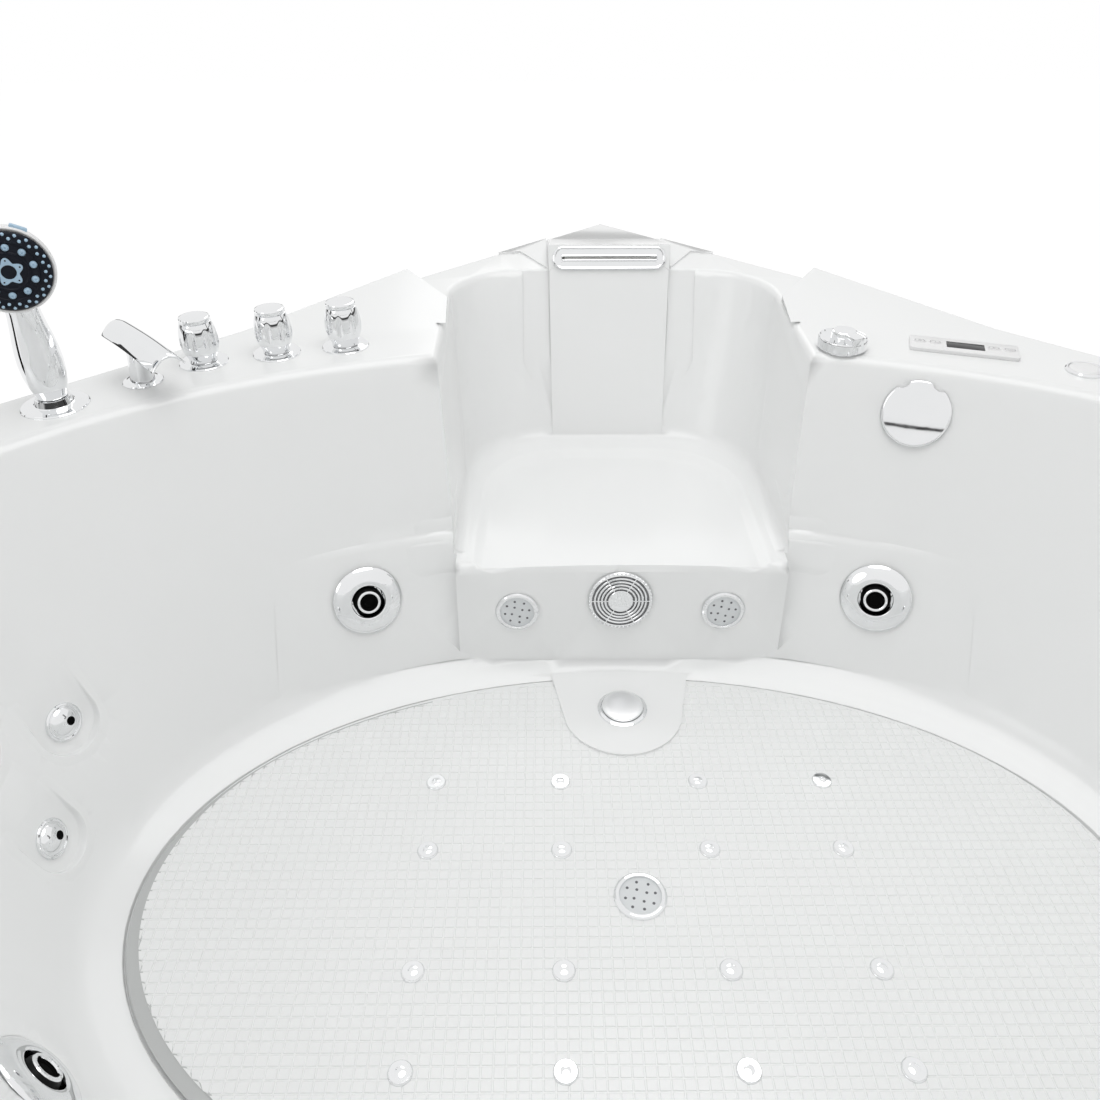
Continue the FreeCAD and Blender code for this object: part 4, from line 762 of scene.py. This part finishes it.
shower = {"place": (-686.0, 110.0), "facing": (0.490737, -0.871308, 0.0),
          "grip": [(12.4, 16.4, 0), (14, 16.8, 0), (17, 17.2, 0), (22, 19.2, 0), (30, 21.6, -0.5),
                   (42, 23.8, -1), (56, 24.6, -2), (70, 23.8, -2.4), (84, 22.0, -2), (98, 19.8, -0.6),
                   (112, 18.0, 2), (124, 17.4, 4.6), (134, 18.0, 7.2), (144, 19.4, 10)],  # lift, radius, lean
          "shell": [(0, -37.6), (10, -37.2), (20, -35.4), (30, -31.6), (37.6, -26.0), (42.8, -18.6),
                    (45.6, -10.6), (46.3, -4.6), (45.7, -1.0), (44.2, 0.2), (43.0, -0.2), (43.0, -2.0),
                    (0, -2.0)],
          "plate": [(0, 3.9), (9, 3.9), (17.6, 3.8), (18.6, 4.6), (20.2, 4.6), (21.2, 3.5), (29.2, 3.2),
                    (30.2, 4.3), (32.0, 4.5), (38.0, 3.9), (41.0, 2.6), (42.0, 1.2), (41.6, 0.4),
                    (0, 0.4)],
          "collar": [(15.0, 0.1), (38.4, 0.1), (38.4, 1.0), (37.4, 2.1), (33.0, 2.6), (24.0, 3.4),
                     (21.6, 5.0), (20.6, 8.6), (20.0, 11.2), (18.8, 12.0), (16.9, 12.0), (15.2, 10.8),
                     (15.0, 0.1)],
          "tab": (17.0, 5.0, 5.0), "tabPlace": (0, 46.2, -4.0), "tabTurn": -28,
          "nub": [(0, 1.7), (0.7, 1.6), (1.2, 1.2), (1.5, 0.5), (1.9, 0.0), (1.9, -1.0), (0, -1.0)],
          "bigNub": [(0, 2.0), (0.9, 1.9), (1.1, 2.6), (2.2, 2.4), (3.2, 1.4), (3.8, 0.2), (3.9, -1.0),
                     (0, -1.0)]}


def handShower():
    facing = Vector(shower["facing"])
    base = Vector((shower["place"][0], shower["place"][1], 0)) * mm + Vector((0, 0, deckHeight))
    headPoint, headNormal = jointPlace("spray_select")
    bm = bmesh.new()
    rings = []
    for lift, radius, lean in shower["grip"]:
        centre = base + facing * lean * mm + Vector((0, 0, lift * mm))
        rings.append((Matrix.Translation(centre), radius, radius))
    loftedRings(bm, rings, 48)
    softened(bm, 0.8, 2, 50)
    madePiece("showerGrip", bm, None, "shower_handset", "chrome", ["shower_handset"])
    headSeat = seatedAt(headPoint, headNormal)
    turnedPiece("showerHead", shower["shell"], headSeat, "shower_handset", "white_plastic", steps=96)
    turnedPiece("sprayPlate", shower["plate"], headSeat, "shower_face", "black_plastic", ["shower_face"],
                finish=finishes["navy"], steps=96)
    bm = bmesh.new()
    repeated(bm, shower["nub"], ringOf(22, 38.6, 3.4) + ringOf(22, 34.6, 4.1, 8.2))
    madePiece("sprayNubs", bm, headSeat, "shower_face", "black_plastic", finish=finishes["paleBlue"])
    bm = bmesh.new()
    repeated(bm, shower["bigNub"], ringOf(10, 25.2, 3.4, 9.0), 20)
    madePiece("sprayBigNubs", bm, headSeat, "shower_face", "black_plastic", finish=finishes["paleBlue"])
    sprayStar(headSeat)
    bm = bmesh.new()
    slab(bm, shower["tab"], shower["tabPlace"])
    softened(bm, 1.4, 3)
    tab = headSeat @ Matrix.Rotation(math.radians(shower["tabTurn"]), 4, "Z")
    madePiece("sprayTab", bm, tab, "shower_face", "black_plastic", finish=finishes["paleBlue"])


star = {"outer": 12.6, "inner": 7.4, "points": 5, "swing": 0.2, "low": 3.9, "thickness": 1.3, "steps": 60}


def sprayStar(headSeat):
    bm = bmesh.new()
    outer = bmesh.ops.create_circle(bm, segments=star["steps"], radius=star["outer"] * mm)["verts"]
    inner = bmesh.ops.create_circle(bm, segments=star["steps"], radius=star["inner"] * mm)["verts"]
    for vert in outer:
        angle = math.atan2(vert.co.y, vert.co.x)
        vert.co *= 1 + star["swing"] * math.cos(star["points"] * (angle - math.radians(90)))
    edges = list({e for v in outer + inner for e in v.link_edges})
    bmesh.ops.bridge_loops(bm, edges=edges)
    bmesh.ops.translate(bm, vec=(0, 0, star["low"] * mm), verts=bm.verts)
    bmesh.ops.recalc_face_normals(bm, faces=bm.faces)
    made = bmesh.ops.extrude_face_region(bm, geom=list(bm.faces))["geom"]
    lifted = [v for v in made if isinstance(v, bmesh.types.BMVert)]
    bmesh.ops.translate(bm, vec=(0, 0, star["thickness"] * mm), verts=lifted)
    softened(bm, 0.4, 2, 50)
    madePiece("sprayStar", bm, headSeat, "shower_face", "black_plastic", finish=finishes["paleBlue"])
    bm = bmesh.new()
    repeated(bm, [(0, 0.2), (0.9, 0.2), (0.9, -0.6), (0, -0.6)], ringOf(star["points"], 12.2, 5.2, 18.0), 12)
    madePiece("sprayStarHoles", bm, headSeat, "shower_face", "black_plastic")


handShower()
showerSeat = onDeck([c * mm for c in shower["place"]])
turnedPiece("showerCollar", shower["collar"], showerSeat, "tub", "chrome", steps=72)
print("hand shower made")

# ---- spout

spout = {"place": (-606.0, 177.0), "back": (-632.0, 200.0, 655.0), "front": (-546.0, 124.0, 641.0),
         "width": 39.0, "rise": 14.0, "skin": 2.6, "pillarTurn": -42, "pillarShift": 7,
         "pillar": ((2.6, 0, 17.5, 14.5), (8, 0.1, 16.6, 13.8), (20, 0.35, 16.0, 13.2),
                    (34, 0.7, 15.8, 13.0), (48, 1.0, 15.8, 13.2), (58, 1.1, 15.8, 13.2)),
         "flange": [(10, 0.1), (24.5, 0.1), (24.5, 0.9), (23.6, 1.8), (19.6, 2.4), (18.4, 3.0), (10, 3.0),
                    (10, 0.1)]}


def bathSpout():
    back = Vector(spout["back"]) * mm
    front = Vector(spout["front"]) * mm
    along = front - back
    length = along.length / mm
    bm = bmesh.new()
    bmesh.ops.create_grid(bm, x_segments=24, y_segments=16, size=1.0)
    for vert in bm.verts:
        across, forward = vert.co.x, (vert.co.y + 1) / 2
        width = spout["width"] / 2 * (0.97 + 0.05 * forward)
        arch = spout["rise"] * (1 - across * across)
        vert.co = Vector((across * width, arch + 2.0 * math.sin(math.pi * forward) - 2.2 * forward ** 3,
                          forward * length)) * mm
    bmesh.ops.recalc_face_normals(bm, faces=bm.faces)
    bmesh.ops.solidify(bm, geom=list(bm.faces), thickness=spout["skin"] * mm)
    softened(bm, 0.7, 2, 40)
    madePiece("spoutTray", bm, seatedAt(back, along), "tub", "chrome", ["bath_spout"])
    x, y = spout["place"]
    bm = bmesh.new()
    rings = []
    turn = Matrix.Rotation(math.radians(spout["pillarTurn"]), 4, "Z")
    for lift, share, wide, deep in spout["pillar"]:
        shift = spout["pillarShift"] * share
        centre = Vector((x + shift, y - shift, deckHeight / mm + lift)) * mm
        rings.append((Matrix.Translation(centre) @ turn, wide, deep))
    loftedRings(bm, rings, 40)
    madePiece("spoutPillar", bm, None, "tub", "chrome")
    turnedPiece("spoutFlange", spout["flange"], onDeck((x * mm, y * mm)), "tub", "chrome", steps=56)


bathSpout()
print("spout made")

# ---- air regulator

airKnob = {"cup": [(0, 14.4), (27.0, 14.4), (29.4, 15.0), (30.6, 16.6), (31.6, 16.8), (32.4, 15.6),
                   (32.5, 13.0), (32.5, 4.0), (31.6, 2.6), (30.6, 2.4), (0, 2.4)],
           "cap": [(0, 25.8), (14.4, 25.8), (15.6, 25.0), (15.8, 23.6), (15.8, 14.0), (0, 14.0)],
           "place": (292.5, 274.0), "turn": 22.0, "bar": (17.0, 34.0, 11.6), "barPlace": (0, -15.2, 19.4)}
airKnobSeat = onDeck([c * mm for c in airKnob["place"]], airKnob["turn"])
turnedPiece("airKnobCup", airKnob["cup"], airKnobSeat, "air_regulator_knob", "chrome",
            ["air_regulator_knob"], steps=96)
turnedPiece("airKnobCap", airKnob["cap"], airKnobSeat, "air_regulator_knob", "chrome")
barMesh = bmesh.new()
slab(barMesh, airKnob["bar"], airKnob["barPlace"])
softened(barMesh, 0.8, 2)
madePiece("airKnobBar", barMesh, airKnobSeat, "air_regulator_knob", "chrome")
print("air regulator made")

# ---- control panel

panel = {"place": (454.0, 268.0), "turn": -17.5, "length": 137.0, "width": 44.0, "proud": 5.0,
         "keys": (-56.0, -36.5, 37.0, 57.0), "keyV": 2.0, "keyLength": 16.0, "keyWidth": 9.0,
         "keyRings": ((4.2, 0), (5.7, 0), (6.1, 0.4), (6.2, 1.2)), "markInset": 2.4, "markLow": 6.1,
         "markHigh": 6.26, "screen": (48.0, 21.0, 1.0), "screenPlace": (2.0, 0.5, 4.7)}


def ovalRing(bm, centre, wide, deep, thickness, steps=40):
    outer, inner = wide / 2, wide / 2 - thickness
    high = panel["markHigh"] - panel["markLow"]
    one = bmesh.new()
    spun(one, [(inner, 0), (outer, 0), (outer, high), (inner, high), (inner, 0)], steps)
    bmesh.ops.scale(one, vec=(1, deep / wide, 1), verts=one.verts)
    bmesh.ops.translate(one, vec=(centre[0] * mm, centre[1] * mm, panel["markLow"] * mm), verts=one.verts)
    joined(bm, one)


def controlPanel():
    size = panel
    seat = onDeck([c * mm for c in size["place"]], size["turn"])
    bm = bmesh.new()
    slab(bm, (size["length"], size["width"], size["proud"]), (0, 0, size["proud"] / 2))
    upright = [e for e in bm.edges if abs(e.verts[0].co.z - e.verts[1].co.z) > 1 * mm]
    bmesh.ops.bevel(bm, geom=upright, offset=4 * mm, offset_type="OFFSET", segments=5, profile=0.5,
                    affect="EDGES", material=-1)
    softened(bm, 0.9, 3, 60)
    madePiece("panelPlate", bm, seat, "tub", "white_plastic", ["control_panel"])
    bm = bmesh.new()
    slab(bm, size["screen"], size["screenPlace"])
    softened(bm, 0.3, 2)
    madePiece("panelScreen", bm, seat, "tub", "black_plastic", ["panel_display"])
    v, wide, deep = size["keyV"], size["keyLength"], size["keyWidth"]
    for number, u in enumerate(size["keys"], 1):
        node = "panel_key_%d" % number
        bm = bmesh.new()
        loftedRings(bm, [(Matrix.Translation((u * mm, v * mm, height * mm)), wide / 2 - inset,
                          deep / 2 - inset) for height, inset in size["keyRings"]], 40)
        madePiece("key%dCap" % number, bm, seat, node, "white_plastic", [node])
        bm = bmesh.new()
        ovalRing(bm, (u, v), wide - size["markInset"], deep - size["markInset"], 0.8)
        keyMark(bm, number, u, v)
        madePiece("key%dMark" % number, bm, seat, node, "white_plastic", finish=finishes["printGrey"])


def keyMark(bm, number, u, v):
    middle = (panel["markLow"] + panel["markHigh"]) / 2
    thick = panel["markHigh"] - panel["markLow"]
    strokes = {1: ((0.4, 1.8, 0, 1.4),), 2: ((2.6, 0.4, 0, 0), (0.4, 2.6, 1.1, 0)),
               3: ((3.2, 0.35, 0, -1.2), (3.2, 0.35, 0, 0), (3.2, 0.35, 0, 1.2))}  # wide, deep, u, v
    if number == 1:
        ovalRing(bm, (u, v), 3.4, 3.4, 0.4, 24)
    for wide, deep, moveU, moveV in strokes.get(number, ()):
        slab(bm, (wide, deep, thick), (u + moveU, v + moveV, middle))
    if number == 4:
        for shift in (-2.2, 0, 2.2):
            ovalRing(bm, (u + shift, v), 1.5, 1.5, 0.35, 16)


controlPanel()
print("control panel made")

# ---- push button

button = {"place": (583.0, 197.5),
          "rim": [(20.6, 3.4), (21.0, 4.0), (22.6, 4.0), (24.0, 2.2), (24.2, 0.1), (20.6, 0.1), (20.6, 3.4)],
          "cap": [(0, 6.6), (9, 6.3), (15, 5.6), (18.6, 4.6), (19.8, 3.4), (20.0, 1.8), (20.0, -1.6),
                  (0, -1.6)]}
buttonSeat = onDeck([c * mm for c in button["place"]])
turnedPiece("buttonRim", button["rim"], buttonSeat, "tub", "chrome", ["button_rim"], steps=64)
turnedPiece("buttonCap", button["cap"], buttonSeat, "button_cap", "white_plastic", ["button_cap"], steps=64)
print("button made")

# ---- waterfall spout

waterfall = {"length": 184.0, "width": 37.0, "slotLength": 154.0, "slotWidth": 5.0,
             "place": (0, 0.6005, 0.6195), "normal": (0, -0.916696, 0.399585),
             "plate": ((0.0, 0.3), (0.0, 3.0), (0.8, 4.6), (2.2, 5.2), (4.0, 4.9), (5.0, 4.2), (13.4, 4.0)),
             "slot": ((3, 4.4), (1.4, 4.6), (0, 4.2), (0, 0.3))}  # inset or outset, height


def stadium(bm, length, width, height, segments=20):
    made = bmesh.ops.create_circle(bm, segments=segments * 2, radius=width / 2 * mm)["verts"]
    shift = (length - width) / 2 * mm
    for vert in made:
        vert.co.x += math.copysign(shift, vert.co.x) if abs(vert.co.x) > 1e-7 else 0
        vert.co.z = height * mm
    return list({e for v in made for e in v.link_edges})


def waterfallPlate():
    size = waterfall
    bm = bmesh.new()
    loops = [stadium(bm, size["length"] - 2 * inset, size["width"] - 2 * inset, height)
             for inset, height in size["plate"]]
    loops += [stadium(bm, size["slotLength"] + outset, size["slotWidth"] + outset, height)
              for outset, height in size["slot"]]
    for outer, inner in zip(loops, loops[1:] + loops[:1]):
        bmesh.ops.bridge_loops(bm, edges=outer + inner)
    seat = seatedAt(size["place"], size["normal"])
    madePiece("waterfallPlate", bm, seat, "tub", "chrome", ["waterfall_plate"])


waterfallPlate()
print("waterfall made")

# ---- stage, light and camera

# lamps: name, place, target, size in metres, power in watts; cards: name, place, size
stage = {"floorSize": 14.0, "floorDrop": -0.0005, "floorWhite": 1.04, "floorShare": 0.93, "worldLight": 0.605,
         "cameraPlace": (-0.1032, -0.8723, 1.078), "cameraTilt": 54.86, "cameraTurn": -0.26,
         "cameraRoll": -0.08, "lens": 29.64,
         "lamps": (("topLight", (0.05, 0.0, 2.35), (0.03, -0.05, 0), 1.6, 13.8),
                   ("backLight", (0.0, 2.6, 2.2), (0, 0.6, 0.5), 1.6, 6.0),
                   ("leftLight", (-2.6, -2.0, 2.2), (0, 0, 0.3), 1.6, 6.6)),
         "cards": (("leftCard", (-1.95, -0.33, 0.55), (0.34, 1.0)),
                   ("rightCard", (1.95, -0.2, 0.55), (0.18, 1.0)))}


def seenWhite(tree, amount):  # what camera, mirrors and glass see as plain white
    rays = tree.nodes.new("ShaderNodeLightPath")
    seen = Wire(tree, rays.outputs["Is Camera Ray"])
    for kind in ("Is Transmission Ray", "Is Glossy Ray"):
        seen = seen.maths("MAXIMUM", Wire(tree, rays.outputs[kind]))
    return (seen * amount).socket


def floorFinish():
    made = Finish("paleFloor", Roughness=0.9)
    made.put("Base Color", made.blend(made.noise(2.0), (0.88, 0.88, 0.88), (0.9, 0.9, 0.9)))
    tree = made.tree
    white = tree.nodes.new("ShaderNodeEmission")
    white.inputs["Strength"].default_value = stage["floorWhite"]
    mixed = tree.nodes.new("ShaderNodeMixShader")
    tree.links.new(seenWhite(tree, stage["floorShare"]), mixed.inputs[0])
    tree.links.new(made.shader.outputs[0], mixed.inputs[1])
    tree.links.new(white.outputs[0], mixed.inputs[2])
    tree.links.new(mixed.outputs[0], tree.nodes["Material Output"].inputs[0])
    return made.material


def flatSheet(name, size, material):
    bm = bmesh.new()
    bmesh.ops.create_grid(bm, x_segments=1, y_segments=1, size=0.5)
    bmesh.ops.scale(bm, vec=(*size, 1), verts=bm.verts)
    mesh = bpy.data.meshes.new(name)
    bm.to_mesh(mesh)
    bm.free()
    mesh.materials.append(material)
    sheet = bpy.data.objects.new(name, mesh)
    scene.collection.objects.link(sheet)
    return sheet


def darkCard(name, place, size):  # seen only in what mirrors it
    card = flatSheet(name, size, finishes["holeBlack"])
    card.location = place
    card.rotation_euler = (Vector((0, 0, place[2])) - Vector(place)).to_track_quat("Z", "Y").to_euler()
    card.visible_camera = card.visible_diffuse = card.visible_shadow = card.visible_transmission = False


def areaLight(name, place, target, size, power):
    lamp = bpy.data.lights.new(name, "AREA")
    lamp.shape = "DISK"
    lamp.size = size
    lamp.energy = power
    holder = bpy.data.objects.new(name, lamp)
    scene.collection.objects.link(holder)
    holder.location = place
    holder.rotation_euler = (Vector(target) - Vector(place)).to_track_quat("-Z", "Y").to_euler()


def buildWorld():
    world = bpy.data.worlds.new("softStudio")
    scene.world = world
    world.use_nodes = True
    tree = world.node_tree
    back = tree.nodes["Background"]
    place = tree.nodes.new("ShaderNodeTexCoord")
    split = tree.nodes.new("ShaderNodeSeparateXYZ")
    tree.links.new(place.outputs["Generated"], split.inputs[0])
    ramp = tree.nodes.new("ShaderNodeValToRGB")
    stops = ramp.color_ramp.elements
    stops[0].position, stops[0].color = 0.0, (0.55, 0.56, 0.57, 1)
    stops[1].position, stops[1].color = 1.0, (1, 1, 1, 1)
    for position, shade in ((0.03, 0.05), (0.095, 0.06), (0.115, 0.95), (0.62, 0.96)):
        stop = stops.new(position)
        stop.color = (shade, shade, shade, 1)
    tree.links.new(split.outputs[2], ramp.inputs[0])
    rays = tree.nodes.new("ShaderNodeLightPath")
    shade = tree.nodes.new("ShaderNodeMix")
    shade.data_type = "RGBA"
    shade.inputs[6].default_value = (1, 1, 1, 1)
    tree.links.new(rays.outputs["Is Glossy Ray"], shade.inputs[0])
    across, away, up = (Wire(tree, split.outputs[axis]) for axis in range(3))
    # dark strips that only chrome shows
    leftStrip = (away > 0.04) * (away < 0.16) * (across < 0.0) * (up < 0.34)
    rightStrip = (away > 0.04) * (away < 0.13) * (across > 0.0) * (up < 0.5)
    frontLine = (up > 0.2266) * (up < 0.2325) * (away < -0.6)
    seen = Wire(tree, ramp.outputs[0]) * (1.0 - leftStrip * 0.95) * (1.0 - rightStrip * 0.8)
    seen = seen * (1.0 - frontLine * 0.97)
    tree.links.new(seen.socket, shade.inputs[7])
    tree.links.new(shade.outputs[2], back.inputs[0])
    bright = Wire(tree, seenWhite(tree, 1.0 - stage["worldLight"])) + stage["worldLight"]
    tree.links.new(bright.socket, back.inputs[1])


floor = flatSheet("paleFloor", (stage["floorSize"], stage["floorSize"]), floorFinish())
floor.location.z = stage["floorDrop"]
buildWorld()
for card in stage["cards"]:
    darkCard(*card)
for lamp in stage["lamps"]:
    areaLight(*lamp)
cameraData = bpy.data.cameras.new("photoCamera")
cameraData.lens = stage["lens"]
cameraData.sensor_width = 36.0
cameraData.clip_start = 0.01
camera = bpy.data.objects.new("photoCamera", cameraData)
scene.collection.objects.link(camera)
camera.location = stage["cameraPlace"]
aim = Matrix.Rotation(math.radians(stage["cameraTurn"]), 4, "Z")
aim = aim @ Matrix.Rotation(math.radians(stage["cameraTilt"]), 4, "X")
camera.rotation_euler = (aim @ Matrix.Rotation(math.radians(stage["cameraRoll"]), 4, "Z")).to_euler()
scene.camera = camera
scene.view_settings.view_transform = "Standard"
print("stage set")
